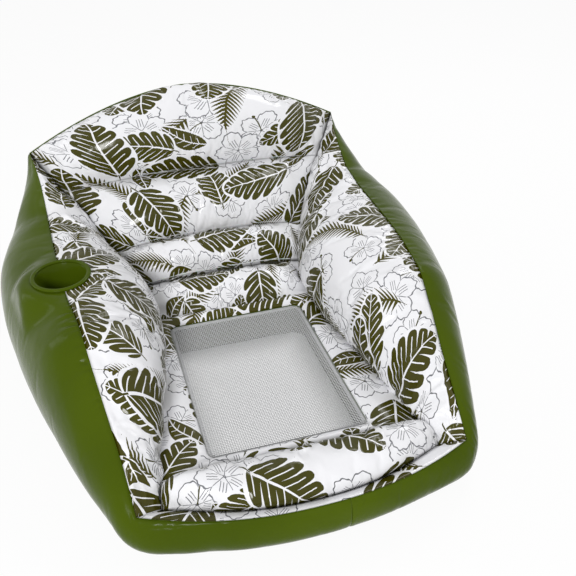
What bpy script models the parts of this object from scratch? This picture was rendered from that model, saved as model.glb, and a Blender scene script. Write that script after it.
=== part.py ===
# Inflatable pool chair: vinyl film chambers welded edge to edge, a mesh seat with open water
# under it, a cup well in one arm and two inflation valves in the back wall.
# Metres, +Z up, front at -Y. The flat bottom lies on z = 0 and the box is centred on the origin.

import math

import bmesh
import bpy
from mathutils import Matrix, Vector

# Whole chair
BODY_WIDTH = 1.06
BODY_DEPTH = 1.196
BACK_HEIGHT = 0.496
FILM = 0.0004
WELD_EDGE = 0.00045
FOLD_EDGE = 0.0008
GAP = 0.0003
CUT_OVERRUN = 0.03

# Rim weld, where the printed film meets the plain outer film
RIM_FRONT_SETBACK = 0.011
RIM_CORNER_SETBACK = 0.067
RIM_TIP_SETBACK = 0.104
RIM_TOP_SETBACK = 0.083
RIM_CORNER_HALF = 0.310
RIM_TIP_HALF = 0.414
RIM_FRONT_HEIGHT = 0.104
ARM_HEIGHT = 0.286
TIP_HEIGHT = 0.374
FRONT_BOW_SHARE = 2.2
ARCH_BOW_SHARE = 1.75

# Place along the arm, share of the way out from corner to tip, rise to the arm, rise to the tip
RIM_ARM_SHARES = (
    (0.00, 0.00, 0.00, 0.00),
    (0.06, 0.05, 0.24, 0.00),
    (0.14, 0.15, 0.48, 0.00),
    (0.24, 0.29, 0.79, 0.00),
    (0.33, 0.40, 1.00, 0.00),
    (0.45, 0.57, 1.00, 0.00),
    (0.72, 0.76, 0.97, 0.00),
    (0.81, 0.80, 1.00, 0.03),
    (0.88, 0.83, 1.00, 0.38),
    (0.94, 0.89, 1.00, 0.72),
    (1.00, 1.00, 1.00, 1.00),
)

# Outer wall, by its widest line and the foot under it
BELLY_CORNER_HALF = 0.325
BELLY_TIP_HALF = 0.448
BELLY_CORNER_SETBACK = 0.066
BELLY_TIP_SETBACK = 0.059
BELLY_FRONT_HEIGHT = 0.061
BELLY_BACK_HEIGHT = 0.157
FOOT_TUCK = 0.058
BACK_CORNER_BOW_SHARE = 5.0

# Place along the arm, share of the way out to the widest, way along, rise from front to back
BELLY_WIDEST_SHARE = 0.78
BELLY_ARM_SHARES = (
    (0.00, 0.00, 0.00, 0.00),
    (0.06, 0.13, 0.05, 0.09),
    (0.14, 0.31, 0.13, 0.22),
    (0.24, 0.51, 0.24, 0.32),
    (0.38, 0.73, 0.38, 0.45),
    (0.50, 0.87, 0.50, 0.55),
    (0.62, 0.96, 0.62, 0.65),
    (BELLY_WIDEST_SHARE, 1.00, 0.80, 0.78),
    (0.87, 0.82, 0.89, 0.86),
    (0.94, 0.50, 0.96, 0.93),
    (1.00, 0.00, 1.00, 1.00),
)

# Mesh seat and its frame
SEAT_HEIGHT = 0.093
MESH_WIDTH = 0.320
MESH_LENGTH = 0.432
MESH_CORNER = 0.020
MESH_SAG = 0.012
MESH_THREAD = 0.0007
MESH_COLUMNS = 10
MESH_ROWS = 13
MESH_STRAND = 0.0096
BINDING_WIDTH = 0.009
BINDING_THICKNESS = 0.0008
BINDING_SHOW = 0.0016
SEAT_PUFF = 0.012
WELL_SLANT = 0.014
WELL_FOOT = 0.002

# Fold between an arm and the seat, then the backrest
FOLD_SEAT_DROP = 0.006
FOLD_FRONT_SETBACK = 0.018

# Place along the arm, share of the tip's half width, rise from the seat to the tip
FOLD_SHARES = (
    (0.00, 0.642, 0.00),
    (0.07, 0.630, 0.00),
    (0.18, 0.602, 0.00),
    (0.32, 0.552, 0.00),
    (0.45, 0.500, 0.00),
    (0.56, 0.490, 0.02),
    (0.68, 0.533, 0.10),
    (0.78, 0.618, 0.28),
    (0.86, 0.722, 0.52),
    (0.92, 0.838, 0.71),
    (1.00, 1.000, 1.00),
)

# Backrest welds: place along the arm, way to the top edge, rise to the top, power of the bow
CHANNEL_PLACE_SHARES = (0.56, 0.68, 0.78, 0.92, 1.00)
CHANNEL_WAY_SHARES = (0.545, 0.657, 0.760, 0.893, 1.000)
CHANNEL_RISE_SHARES = (0.010, 0.120, 0.254, 0.544, 1.000)
CHANNEL_BOW_SHARES = (4.0, 3.4, 3.0, 2.6, ARCH_BOW_SHARE)
CHANNEL_PUFFS = (0.020, 0.030, 0.044, 0.052)
CHANNEL_STEPS = (3, 4, 5, 6)
CHANNEL_END_SHARE = 5.0
CHANNEL_ROUND_SHARE = 0.8

# Front roll, and the welded strip in front of it
ROLL_PUFF = 0.050
ROLL_LIFT = 0.004
ROLL_END_SHARE = 9.0
CREASE_BACK = 0.030
STRIP_WIDTH = 0.021

# Arms
ARM_PUFF_SHARES = ((0.00, 0.33), (0.50, 0.33), (0.72, 0.24), (0.88, 0.19), (1.00, 0.04))
ARM_END_SHARE = 0.09

# Roundness of a puffed section, and of its ends where it dies out in a weld
PUFF_SHARE = 0.62
END_SHARE = 0.5
SLOPE_STEP_SHARE = 0.01

# Sections: counts, places along the seat, and shares down the wall (1 is its widest line)
FRONT_COLUMNS = 12
BACK_COLUMNS = 16
ARM_STEPS = 7
ROLL_STEPS = 5
SEAT_STEPS = 3
SEAT_PLACE_SHARES = (0.07, 0.12, 0.18, 0.24, 0.30, 0.36, 0.41, 0.45, 0.485, 0.52, 0.56)
WALL_SHARES = (0.0, 0.15, 0.31, 0.50, 0.74, 1.0, 1.33, 1.67, 2.0)
FRONT_WELD_COLUMN = 7

# Inner webs, each welded to the back wall at one of the wall's sections
WEB_MARGIN = 0.0009
WEB_WALL_SECTIONS = (5, 4, 3)

# Cup holder
CUP_PLACE_SHARE = 0.52
CUP_BORE = 0.108
CUP_DEPTH = 0.085
CUP_DRAFT = 0.006
CUP_WALL = 0.0006
CUP_LIP = 0.009
CUP_RING = 0.0036
CUP_FLAT = 0.068
CUP_BLEND = 0.060
CUP_DROP = 0.035

# Valves, each in the middle of a facet: columns from the middle line, section of the wall
VALVE_FACETS = ((-1.5, 4), (1.5, 3))
FLANGE_RADIUS = 0.018
FLANGE_THICKNESS = 0.0008
BOSS_RADIUS = 0.0092
BOSS_HEIGHT = 0.0026
STEM_RADIUS = 0.0065
STEM_BORE_RADIUS = 0.0042
STEM_TRAVEL = 0.008
STEM_LIP_RADIUS = 0.0080
STEM_LIP = 0.0012
STEM_BEAD_RADIUS = 0.0080
FILM_HOLE_CLEARANCE = 0.0004
SLIDE_CLEARANCE = 0.0004
PLUG_RADIUS = 0.0039
PLUG_TIP_RADIUS = 0.0032
PLUG_LENGTH = 0.0035
PLUG_HEAD_RADIUS = 0.0066
PLUG_HEAD = 0.0018
TETHER_REACH = 0.0110
TETHER_WIDTH = 0.0030
TETHER_THICKNESS = 0.0010
TETHER_LUG = 0.0016
FLAP_RADIUS = 0.0050
FLAP_THICKNESS = 0.0006
FLAP_HINGE_OFFSET = 0.0002
ROUND_SIDES = 28
SMALL_SIDES = 20
RING_SIDES = 8
MERGE = 0.00001


def new_collection(name):
    collection = bpy.data.collections.new(name)
    bpy.context.scene.collection.children.link(collection)
    return collection


def make_material(name, colour, roughness):
    material = bpy.data.materials.new(name)
    material.use_nodes = True
    shader = material.node_tree.nodes["Principled BSDF"]
    shader.inputs["Base Color"].default_value = (*colour, 1.0)
    shader.inputs["Roughness"].default_value = roughness
    material.diffuse_color = (*colour, 1.0)
    return material


def table_rise(rows, row, column):
    run = rows[row + 1][0] - rows[row][0]
    return (rows[row + 1][column] - rows[row][column]) / run


# Slope of a table's smooth curve at a row, level where the values turn back
def table_slope(rows, row, column):
    before = table_rise(rows, max(0, row - 1), column)
    after = table_rise(rows, min(len(rows) - 2, row), column)
    return 2 * before * after / (before + after) if before * after > 0 else 0.0


# Values of a table at a place, smooth and without overshoot. A row is a place and its values.
def table_values(rows, place):
    row = 0
    while row < len(rows) - 2 and rows[row + 1][0] <= place:
        row += 1
    start, end = rows[row], rows[row + 1]
    run = end[0] - start[0]
    t = min(1.0, max(0.0, (place - start[0]) / run))
    values = []
    for column in range(1, len(start)):
        first = (1 + 2 * t) * (1 - t) ** 2 * start[column]
        second = t * t * (3 - 2 * t) * end[column]
        leave = t * (1 - t) ** 2 * run * table_slope(rows, row, column)
        arrive = t * t * (1 - t) * run * table_slope(rows, row + 1, column)
        values.append(first + second + leave - arrive)
    return values


def mix(a, b, share):
    return a + (b - a) * share


def ease(share):
    share = min(1.0, max(0.0, share))
    return share * share * (3 - 2 * share)


# Round section of a puffed film: 0 at both welds and 1 between them
def puff(share):
    return max(0.0, 4 * share * (1 - share)) ** PUFF_SHARE


# Rim weld: across the front, along each arm, over the back
def front_y():
    return -BODY_DEPTH / 2 + RIM_FRONT_SETBACK


def corner_y():
    return front_y() + RIM_CORNER_SETBACK


def tip_y():
    return back_y() - RIM_TIP_SETBACK


def rim_front(share):
    y = front_y() + RIM_CORNER_SETBACK * abs(share) ** FRONT_BOW_SHARE
    return Vector((RIM_CORNER_HALF * share, y, RIM_FRONT_HEIGHT))


def rim_arm(place, side):
    out, rise, lift = table_values(RIM_ARM_SHARES, place)
    z = RIM_FRONT_HEIGHT + (ARM_HEIGHT - RIM_FRONT_HEIGHT) * rise
    z += (TIP_HEIGHT - ARM_HEIGHT) * lift
    x = mix(RIM_CORNER_HALF, RIM_TIP_HALF, out)
    return Vector((side * x, mix(corner_y(), tip_y(), place), z))


def rim_back(share):
    bow = abs(share) ** ARCH_BOW_SHARE
    y = mix(back_y() - RIM_TOP_SETBACK, tip_y(), bow)
    return Vector((RIM_TIP_HALF * share, y, mix(BACK_HEIGHT, TIP_HEIGHT, bow)))


# The lower valve, in the facet over the widest line, stands proud of that line by this much
def valve_rise():
    section = VALVE_FACETS[0][1]
    inset = RIM_TOP_SETBACK * (1 - math.sin(math.pi / 2 * WALL_SHARES[section])) / 2
    return FILM / 2 + FLANGE_THICKNESS + BOSS_HEIGHT + STEM_LIP + PLUG_HEAD + 3 * GAP - inset


def back_y():
    return BODY_DEPTH / 2 - valve_rise()


# Widest line of the outer wall
def belly_front(share):
    y = -BODY_DEPTH / 2 + BELLY_CORNER_SETBACK * abs(share) ** FRONT_BOW_SHARE
    return Vector((BELLY_CORNER_HALF * share, y, BELLY_FRONT_HEIGHT))


def belly_arm(place, side):
    out, along, rise = table_values(BELLY_ARM_SHARES, place)
    narrow = BELLY_CORNER_HALF if place < BELLY_WIDEST_SHARE else BELLY_TIP_HALF
    x = mix(narrow, BODY_WIDTH / 2, out)
    start = -BODY_DEPTH / 2 + BELLY_CORNER_SETBACK
    y = mix(start, back_y() - BELLY_TIP_SETBACK, along)
    return Vector((side * x, y, mix(BELLY_FRONT_HEIGHT, BELLY_BACK_HEIGHT, rise)))


def belly_back(share):
    bow = abs(share) ** BACK_CORNER_BOW_SHARE
    y = back_y() - BELLY_TIP_SETBACK * bow
    return Vector((BELLY_TIP_HALF * share, y, BELLY_BACK_HEIGHT))


def foot_under(belly):
    shrink = 1 - FOOT_TUCK / (BODY_WIDTH / 2)
    return Vector((belly.x * shrink, belly.y * shrink, FILM / 2))


# Point on the outer wall: 0 at the rim, 1 at the widest line, 2 at the foot
def wall_point(rim, belly, share):
    if share <= 1:
        angle = share * math.pi / 2
        out, down = math.sin(angle), 1 - math.cos(angle)
        x = mix(rim.x, belly.x, out)
        y = mix(rim.y, belly.y, out)
        return Vector((x, y, mix(rim.z, belly.z, down)))
    angle = (share - 1) * math.pi / 2
    foot = foot_under(belly)
    tucked, down = 1 - math.cos(angle), math.sin(angle)
    x = mix(belly.x, foot.x, tucked)
    y = mix(belly.y, foot.y, tucked)
    return Vector((x, y, mix(belly.z, foot.z, down)))


# Fold at the foot of an arm's inner film
def fold(place, side):
    half, rise = table_values(FOLD_SHARES, place)
    y = mix(corner_y(), tip_y(), place)
    near_front = max(0.0, 1 - place / SEAT_PLACE_SHARES[0])
    y += FOLD_FRONT_SETBACK * near_front
    z = SEAT_HEIGHT - FOLD_SEAT_DROP * (1 - rise) + (TIP_HEIGHT - SEAT_HEIGHT) * rise
    return Vector((side * RIM_TIP_HALF * half, y, z))


def back_rows():
    return list(zip(CHANNEL_PLACE_SHARES, CHANNEL_WAY_SHARES, CHANNEL_RISE_SHARES,
                    CHANNEL_BOW_SHARES))


# Backrest film before it is puffed: share -1 to 1 across, place up the fold
def back_base(share, place):
    edge = fold(place, 1)
    way, rise, power = table_values(back_rows(), place)
    middle_y = mix(corner_y(), back_y() - RIM_TOP_SETBACK, way)
    middle_z = mix(SEAT_HEIGHT, BACK_HEIGHT, rise)
    bow = abs(share) ** power
    return Vector((edge.x * share, mix(middle_y, edge.y, bow), mix(middle_z, edge.z, bow)))


def back_point(share, place, channel, across):
    point = back_base(share, place)
    low = max(CHANNEL_PLACE_SHARES[0], place - SLOPE_STEP_SHARE)
    high = min(CHANNEL_PLACE_SHARES[-1], place + SLOPE_STEP_SHARE)
    left, right = max(-1.0, share - SLOPE_STEP_SHARE), min(1.0, share + SLOPE_STEP_SHARE)
    up = back_base(share, high) - back_base(share, low)
    along = back_base(right, place) - back_base(left, place)
    normal = along.cross(up).normalized()
    if normal.y > 0:
        normal.negate()
    ends = max(0.0, 1 - abs(share) ** CHANNEL_END_SHARE) ** CHANNEL_ROUND_SHARE
    return point + normal * CHANNEL_PUFFS[channel] * puff(across) * ends


# Arm's inner film: 0 at the rim, 1 at the fold
def arm_point(place, side, share):
    rim, low = rim_arm(place, side), fold(place, side)
    chord = low - rim
    before, after = max(0.0, place - SLOPE_STEP_SHARE), min(1.0, place + SLOPE_STEP_SHARE)
    along = rim_arm(after, side) + fold(after, side) - rim_arm(before, side) - fold(before, side)
    normal = along.cross(chord).normalized()
    if normal.x * side > 0:
        normal.negate()
    ends = min(1.0, place / ARM_END_SHARE) ** END_SHARE
    bulge = chord.length * table_values(ARM_PUFF_SHARES, place)[0]
    return mix(rim, low, share) + normal * bulge * puff(share) * ends


# Front roll: 0 at the crease behind it, 1 at the weld in front
def front_weld(share):
    end = fold(0.0, 1)
    middle = front_y() + STRIP_WIDTH
    y = mix(middle, end.y, abs(share) ** FRONT_BOW_SHARE)
    z = mix(SEAT_HEIGHT + ROLL_LIFT, end.z, abs(share) ** ROLL_END_SHARE)
    return Vector((end.x * share, y, z))


def crease(share):
    end = fold(SEAT_PLACE_SHARES[0], 1)
    z = mix(SEAT_HEIGHT + ROLL_LIFT, end.z, abs(share) ** ROLL_END_SHARE)
    return Vector((end.x * share, end.y, z))


def roll_point(share, across):
    base = mix(crease(share), front_weld(share), across)
    edge = mix(fold(SEAT_PLACE_SHARES[0], 1), fold(0.0, 1), across)
    base.x = edge.x * share
    ends = max(0.0, 1 - abs(share) ** ROLL_END_SHARE) ** END_SHARE
    base.z += ROLL_PUFF * puff(across) * ends
    return base


# The mesh opening starts behind the crease
def mesh_middle_y():
    return crease(0.0).y + CREASE_BACK + MESH_LENGTH / 2


# The cup stands on the weld of the left arm
def cup_centre():
    return rim_arm(CUP_PLACE_SHARE, -1)


# Films near the cup lie flat under its lip, and those that stand higher are pressed down further
def flatten_for_cup(point):
    centre = cup_centre()
    distance = math.hypot(point.x - centre.x, point.y - centre.y)
    pressed = CUP_BLEND if point.z > centre.z else 0.0
    far = ease((distance - CUP_FLAT - pressed) / CUP_BLEND)
    low = ease((centre.z - point.z - CUP_DROP) / CUP_DROP)
    return Vector((point.x, point.y, mix(centre.z, point.z, max(far, low))))


# Sheet of quads from rows of points
def grid_object(name, rows, material, collection, thickness=FILM, closed=False):
    mesh = bpy.data.meshes.new(name)
    columns = len(rows[0])
    points = [point for row in rows for point in row]
    faces = []
    for row in range(len(rows) - 1):
        for column in range(columns if closed else columns - 1):
            a = row * columns + column
            b = row * columns + (column + 1) % columns
            faces.append((a, b, b + columns, a + columns))
    mesh.from_pydata(points, [], faces)
    mesh.materials.append(material)
    mesh.shade_smooth()
    piece = bpy.data.objects.new(name, mesh)
    collection.objects.link(piece)
    wall = piece.modifiers.new("Film", "SOLIDIFY")
    wall.thickness = thickness
    wall.offset = 0.0
    return piece


# Pulls the border of a sheet in from its welds, so that neighbours stay apart
def trim(rows, first_row, last_row, first_column, last_column):
    rows = [[point.copy() for point in row] for row in rows]
    if first_row:
        rows[0] = [a + (b - a).normalized() * first_row for a, b in zip(rows[0], rows[1])]
    if last_row:
        rows[-1] = [a + (b - a).normalized() * last_row for a, b in zip(rows[-1], rows[-2])]
    for row in rows:
        if first_column:
            row[0] += (row[1] - row[0]).normalized() * first_column
        if last_column:
            row[-1] += (row[-2] - row[-1]).normalized() * last_column
    return rows


# Places of the sections along an arm, shared by every film that meets there
def roll_places():
    return [SEAT_PLACE_SHARES[0] * step / ROLL_STEPS for step in range(ROLL_STEPS)]


def channel_places(channel):
    low, high = CHANNEL_PLACE_SHARES[channel], CHANNEL_PLACE_SHARES[channel + 1]
    steps = CHANNEL_STEPS[channel]
    return [mix(low, high, step / steps) for step in range(steps)]


def back_places():
    return [place for channel in range(len(CHANNEL_STEPS)) for place in channel_places(channel)]


def arm_places():
    return roll_places() + list(SEAT_PLACE_SHARES[:-1]) + back_places()


def even_shares(columns):
    return [2 * column / columns - 1 for column in range(columns + 1)]


def make_arm(name, side, material, collection):
    rows = []
    for place in arm_places():
        row = [arm_point(place, side, step / ARM_STEPS) for step in range(ARM_STEPS + 1)]
        if side < 0:
            row = [flatten_for_cup(point) for point in row]
        rows.append(row)
    rows = trim(rows, WELD_EDGE, 0, WELD_EDGE, FOLD_EDGE)
    return grid_object(name, rows, material, collection)


def make_backrest(material, collection):
    shares = even_shares(BACK_COLUMNS)
    rows = []
    for channel, steps in enumerate(CHANNEL_STEPS):
        for step, place in enumerate(channel_places(channel)):
            rows.append([back_point(share, place, channel, step / steps) for share in shares])
    rows.append([back_base(share, 1.0) for share in shares])
    rows = trim(rows, WELD_EDGE, WELD_EDGE, FOLD_EDGE, FOLD_EDGE)
    return grid_object("backrest_panel", rows, material, collection)


# Rectangle with round corners round the mesh; grow moves its line outward
def on_opening(x_share, y_share, grow, z):
    half_x, half_y = MESH_WIDTH / 2 + grow, MESH_LENGTH / 2 + grow
    radius = MESH_CORNER + grow
    x, y = half_x * x_share, half_y * y_share
    corner_x = math.copysign(half_x - radius, x)
    corner_y = math.copysign(half_y - radius, y)
    arm = Vector((x - corner_x, y - corner_y))
    outside = abs(x) > half_x - radius and abs(y) > half_y - radius
    if outside and arm.length > radius:
        arm = arm.normalized() * radius
        x, y = corner_x + arm.x, corner_y + arm.y
    return Vector((x, mesh_middle_y() + y, z))


# Walk round the seat: where the outer border lies, and the shares of the mesh opening there
def seat_walk():
    places = list(SEAT_PLACE_SHARES)
    low_y, high_y = fold(places[0], 1).y, fold(places[-1], 1).y
    walk = []
    for share in even_shares(BACK_COLUMNS):
        walk.append((back_base(share, places[-1]), share, 1.0))
    for place in reversed(places[:-1]):
        edge = fold(place, 1)
        walk.append((edge, 1.0, 2 * (edge.y - low_y) / (high_y - low_y) - 1))
    for share in reversed(even_shares(FRONT_COLUMNS)[:-1]):
        walk.append((crease(share), share, -1.0))
    for place in places[1:-1]:
        edge = fold(place, -1)
        walk.append((edge, -1.0, 2 * (edge.y - low_y) / (high_y - low_y) - 1))
    return walk


def make_seat_border(material, collection):
    walk = seat_walk()
    rows = []
    for step in range(SEAT_STEPS + 1):
        share = step / SEAT_STEPS
        row = []
        for outer, x_share, y_share in walk:
            inner = on_opening(x_share, y_share, WELD_EDGE, SEAT_HEIGHT)
            point = mix(outer, inner, share)
            point.z += SEAT_PUFF * puff(share)
            row.append(point)
        rows.append(row)
    rows = trim(rows, FOLD_EDGE, 0, 0, 0)
    return grid_object("seat_border", rows, material, collection, closed=True)


def opening_loop(grow, z):
    return [on_opening(x_share, y_share, grow, z) for _, x_share, y_share in seat_walk()]


def make_binding(material, collection):
    rows = [opening_loop(-WELD_EDGE, SEAT_HEIGHT), opening_loop(-BINDING_WIDTH, SEAT_HEIGHT)]
    return grid_object("mesh_binding", rows, material, collection, BINDING_THICKNESS, True)


def make_well_wall(material, collection):
    top = opening_loop(FILM, SEAT_HEIGHT - FILM - GAP)
    bottom = opening_loop(WELL_SLANT, FILM + GAP)
    return grid_object("opening_wall", [top, bottom], material, collection, closed=True)


def make_mesh_seat(material, collection):
    half_x, half_y = MESH_WIDTH / 2 - BINDING_SHOW, MESH_LENGTH / 2 - BINDING_SHOW
    top = SEAT_HEIGHT - BINDING_THICKNESS / 2 - GAP - MESH_THREAD / 2
    mesh = bpy.data.meshes.new("mesh_seat")
    sheet = bmesh.new()
    bmesh.ops.create_grid(sheet, x_segments=MESH_COLUMNS, y_segments=MESH_ROWS, size=1)
    for vertex in sheet.verts:
        vertex.co.x *= half_x
        vertex.co.y *= half_y
    gaps = list(sheet.faces)
    bmesh.ops.inset_individual(sheet, faces=gaps, thickness=MESH_STRAND / 2)
    bmesh.ops.delete(sheet, geom=gaps, context="FACES")
    for vertex in sheet.verts:
        x_share, y_share = vertex.co.x / half_x, vertex.co.y / half_y
        sag = MESH_SAG * (1 - x_share ** 2) * (1 - y_share ** 2)
        vertex.co = on_opening(x_share, y_share, -BINDING_SHOW, top - sag)
    sheet.to_mesh(mesh)
    sheet.free()
    mesh.materials.append(material)
    piece = bpy.data.objects.new("mesh_seat", mesh)
    collection.objects.link(piece)
    wall = piece.modifiers.new("Thread", "SOLIDIFY")
    wall.thickness = MESH_THREAD
    wall.offset = 0.0
    return piece


def make_roll(material, collection):
    rows = []
    for step in range(ROLL_STEPS + 1):
        across = step / ROLL_STEPS
        rows.append([roll_point(share, across) for share in even_shares(FRONT_COLUMNS)])
    rows = trim(rows, WELD_EDGE, WELD_EDGE, FOLD_EDGE, FOLD_EDGE)
    return grid_object("front_roll", rows, material, collection)


def make_strip(material, collection):
    shares = even_shares(FRONT_COLUMNS)
    rows = [[front_weld(share) for share in shares], [rim_front(share) for share in shares]]
    rows = trim(rows, WELD_EDGE, WELD_EDGE, WELD_EDGE, WELD_EDGE)
    return grid_object("front_strip", rows, material, collection)


def wall_row(rim, belly):
    return [wall_point(rim, belly, share) for share in WALL_SHARES]


def make_side_wall(name, side, material, collection):
    shares = even_shares(FRONT_COLUMNS)
    if side > 0:
        front = shares[FRONT_WELD_COLUMN:]
    else:
        front = list(reversed(shares[:FRONT_WELD_COLUMN + 1]))
    rows = [wall_row(rim_front(share), belly_front(share)) for share in front]
    for place in arm_places()[1:] + [1.0]:
        rows.append(wall_row(rim_arm(place, side), belly_arm(place, side)))
    if side < 0:
        rows = [[flatten_for_cup(point) for point in row] for row in rows]
    rows = trim(rows, WELD_EDGE, WELD_EDGE, WELD_EDGE, WELD_EDGE)
    return grid_object(name, rows, material, collection)


def make_back_wall(material, collection):
    rows = [wall_row(rim_back(share), belly_back(share)) for share in even_shares(BACK_COLUMNS)]
    rows = trim(rows, WELD_EDGE, WELD_EDGE, WELD_EDGE, WELD_EDGE)
    return grid_object("back_wall", rows, material, collection)


def foot_loop():
    feet = [foot_under(belly_front(share)) for share in even_shares(FRONT_COLUMNS)]
    places = arm_places()[1:]
    feet += [foot_under(belly_arm(place, 1)) for place in places]
    feet += [foot_under(belly_back(share)) for share in reversed(even_shares(BACK_COLUMNS))]
    feet += [foot_under(belly_arm(place, -1)) for place in reversed(places)]
    return feet


def make_bottom(material, collection):
    outline = [point * (1 - WELD_EDGE / point.length) for point in foot_loop()]
    hole = opening_loop(WELL_SLANT - WELL_FOOT, 0.0)
    curve = bpy.data.curves.new("bottom_sheet", "CURVE")
    curve.dimensions = "2D"
    curve.fill_mode = "BOTH"
    curve.extrude = FILM / 2
    for loop in (outline, hole):
        spline = curve.splines.new("POLY")
        spline.points.add(len(loop) - 1)
        for target, point in zip(spline.points, loop):
            target.co = (point.x, point.y, 0.0, 1.0)
        spline.use_cyclic_u = True
    curve.materials.append(material)
    piece = bpy.data.objects.new("bottom_sheet", curve)
    piece.location.z = FILM / 2
    collection.objects.link(piece)
    return piece


def make_side_web(name, side, material, collection):
    places = list(SEAT_PLACE_SHARES[:-1])
    places += [place for place in back_places() if place <= CHANNEL_PLACE_SHARES[-2]]
    rows = []
    for place in places:
        top = fold(place, side)
        top.z -= WEB_MARGIN
        rows.append([top, Vector((top.x, top.y, FILM + GAP))])
    rows = trim(rows, 2 * WEB_MARGIN, 0, 0, 0)
    return grid_object(name, rows, material, collection)


def make_front_web(material, collection):
    rows = []
    for share in even_shares(FRONT_COLUMNS):
        top = crease(share)
        top.z -= WEB_MARGIN
        rows.append([top, Vector((top.x, top.y, FILM + GAP))])
    rows = trim(rows, WEB_MARGIN * 2, WEB_MARGIN * 2, 0, 0)
    return grid_object("front_web", rows, material, collection)


def make_back_web(number, material, collection):
    place = CHANNEL_PLACE_SHARES[number]
    section = WALL_SHARES[WEB_WALL_SECTIONS[number - 1]]
    wall_half = mix(RIM_TIP_HALF, BELLY_TIP_HALF, math.sin(section * math.pi / 2))
    front, back = [], []
    for share in even_shares(BACK_COLUMNS)[1:-1]:
        start = back_base(share, place)
        wall_share = start.x / wall_half
        end = wall_point(rim_back(wall_share), belly_back(wall_share), section)
        along = (end - start).normalized()
        front.append(start + along * WEB_MARGIN)
        back.append(end - along * 2 * WEB_MARGIN)
    name = "back_web_" + str(number)
    return grid_object(name, [front, back], material, collection)


# Turned piece on local Z. The profile runs down its outer side, in radius and height.
def turned_object(name, profile, material, collection, sides, frame, closed=False):
    mesh = bpy.data.meshes.new(name)
    points = [(radius, 0.0, height) for radius, height in profile]
    edges = [(i, i + 1) for i in range(len(points) - 1)]
    if closed:
        edges.append((len(points) - 1, 0))
    mesh.from_pydata(points, edges, [])
    mesh.materials.append(material)
    piece = bpy.data.objects.new(name, mesh)
    collection.objects.link(piece)
    piece.matrix_world = frame
    screw = piece.modifiers.new("Turn", "SCREW")
    screw.axis = "Z"
    screw.steps = sides
    screw.render_steps = sides
    screw.use_merge_vertices = True
    screw.merge_threshold = MERGE
    screw.use_smooth_shade = True
    return piece


def cutting_cylinder(name, radius, low, high, cutters, frame, sides):
    mesh = bpy.data.meshes.new(name)
    solid = bmesh.new()
    bmesh.ops.create_cone(solid, cap_ends=True, segments=sides, radius1=radius,
                          radius2=radius, depth=high - low)
    bmesh.ops.translate(solid, verts=solid.verts, vec=(0, 0, (high + low) / 2))
    solid.to_mesh(mesh)
    solid.free()
    return link_cutter(name, mesh, cutters, frame)


def box_tool(name, low, high, cutters, frame):
    mesh = bpy.data.meshes.new(name)
    solid = bmesh.new()
    bmesh.ops.create_cube(solid, size=1)
    for vertex in solid.verts:
        for axis in range(3):
            vertex.co[axis] = mix(low[axis], high[axis], vertex.co[axis] + 0.5)
    solid.to_mesh(mesh)
    solid.free()
    return link_cutter(name, mesh, cutters, frame)


def link_cutter(name, mesh, cutters, frame):
    tool = bpy.data.objects.new(name, mesh)
    cutters.objects.link(tool)
    tool.matrix_world = frame
    tool.hide_render = True
    tool.display_type = "WIRE"
    return tool


def combine(piece, tool, operation):
    joint = piece.modifiers.new(tool.name, "BOOLEAN")
    joint.operation = operation
    joint.solver = "EXACT"
    joint.object = tool


def make_cup_holder(films, material, collection, cutters):
    centre = cup_centre()
    frame = Matrix.Translation(centre)
    bore, wall = CUP_BORE / 2, CUP_WALL
    under = FILM / 2 + GAP
    top = under + wall
    floor = top - CUP_DEPTH
    profile = [(0.0, floor + wall), (bore - CUP_DRAFT, floor + wall), (bore, top),
               (bore + wall + CUP_LIP, top), (bore + wall + CUP_LIP, under),
               (bore + wall, under), (bore + wall - CUP_DRAFT, floor), (0.0, floor)]
    turned_object("cup_well", profile, material, collection, ROUND_SIDES, frame)
    hole = bore + wall + FILM_HOLE_CLEARANCE
    tool = cutting_cylinder("cup_cut", hole, -CUT_OVERRUN, CUT_OVERRUN, cutters, frame, ROUND_SIDES)
    for film in films:
        combine(film, tool, "DIFFERENCE")
    middle = bore + wall + CUP_RING
    ring = []
    for side in range(RING_SIDES):
        angle = -2 * math.pi * side / RING_SIDES
        height = top + GAP + CUP_RING + CUP_RING * math.sin(angle)
        ring.append((middle + CUP_RING * math.cos(angle), height))
    turned_object("cup_ring", ring, material, collection, ROUND_SIDES, frame, closed=True)


# Frame on the middle of a back wall facet: local Z points out of the chair, local X along it
def valve_frame(columns, section):
    corners = []
    for across, lower in ((-0.5, 0), (0.5, 0), (0.5, 1), (-0.5, 1)):
        share = 2 * (columns + across) / BACK_COLUMNS
        corners.append(wall_point(rim_back(share), belly_back(share), WALL_SHARES[section + lower]))
    middle = sum(corners, Vector()) / len(corners)
    out = (corners[2] - corners[0]).cross(corners[3] - corners[1]).normalized()
    if out.y < 0:
        out.negate()
    along = Vector((1, 0, 0))
    along = (along - out * along.dot(out)).normalized()
    frame = Matrix((along, out.cross(along), out)).transposed().to_4x4()
    frame.translation = middle
    return frame


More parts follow.
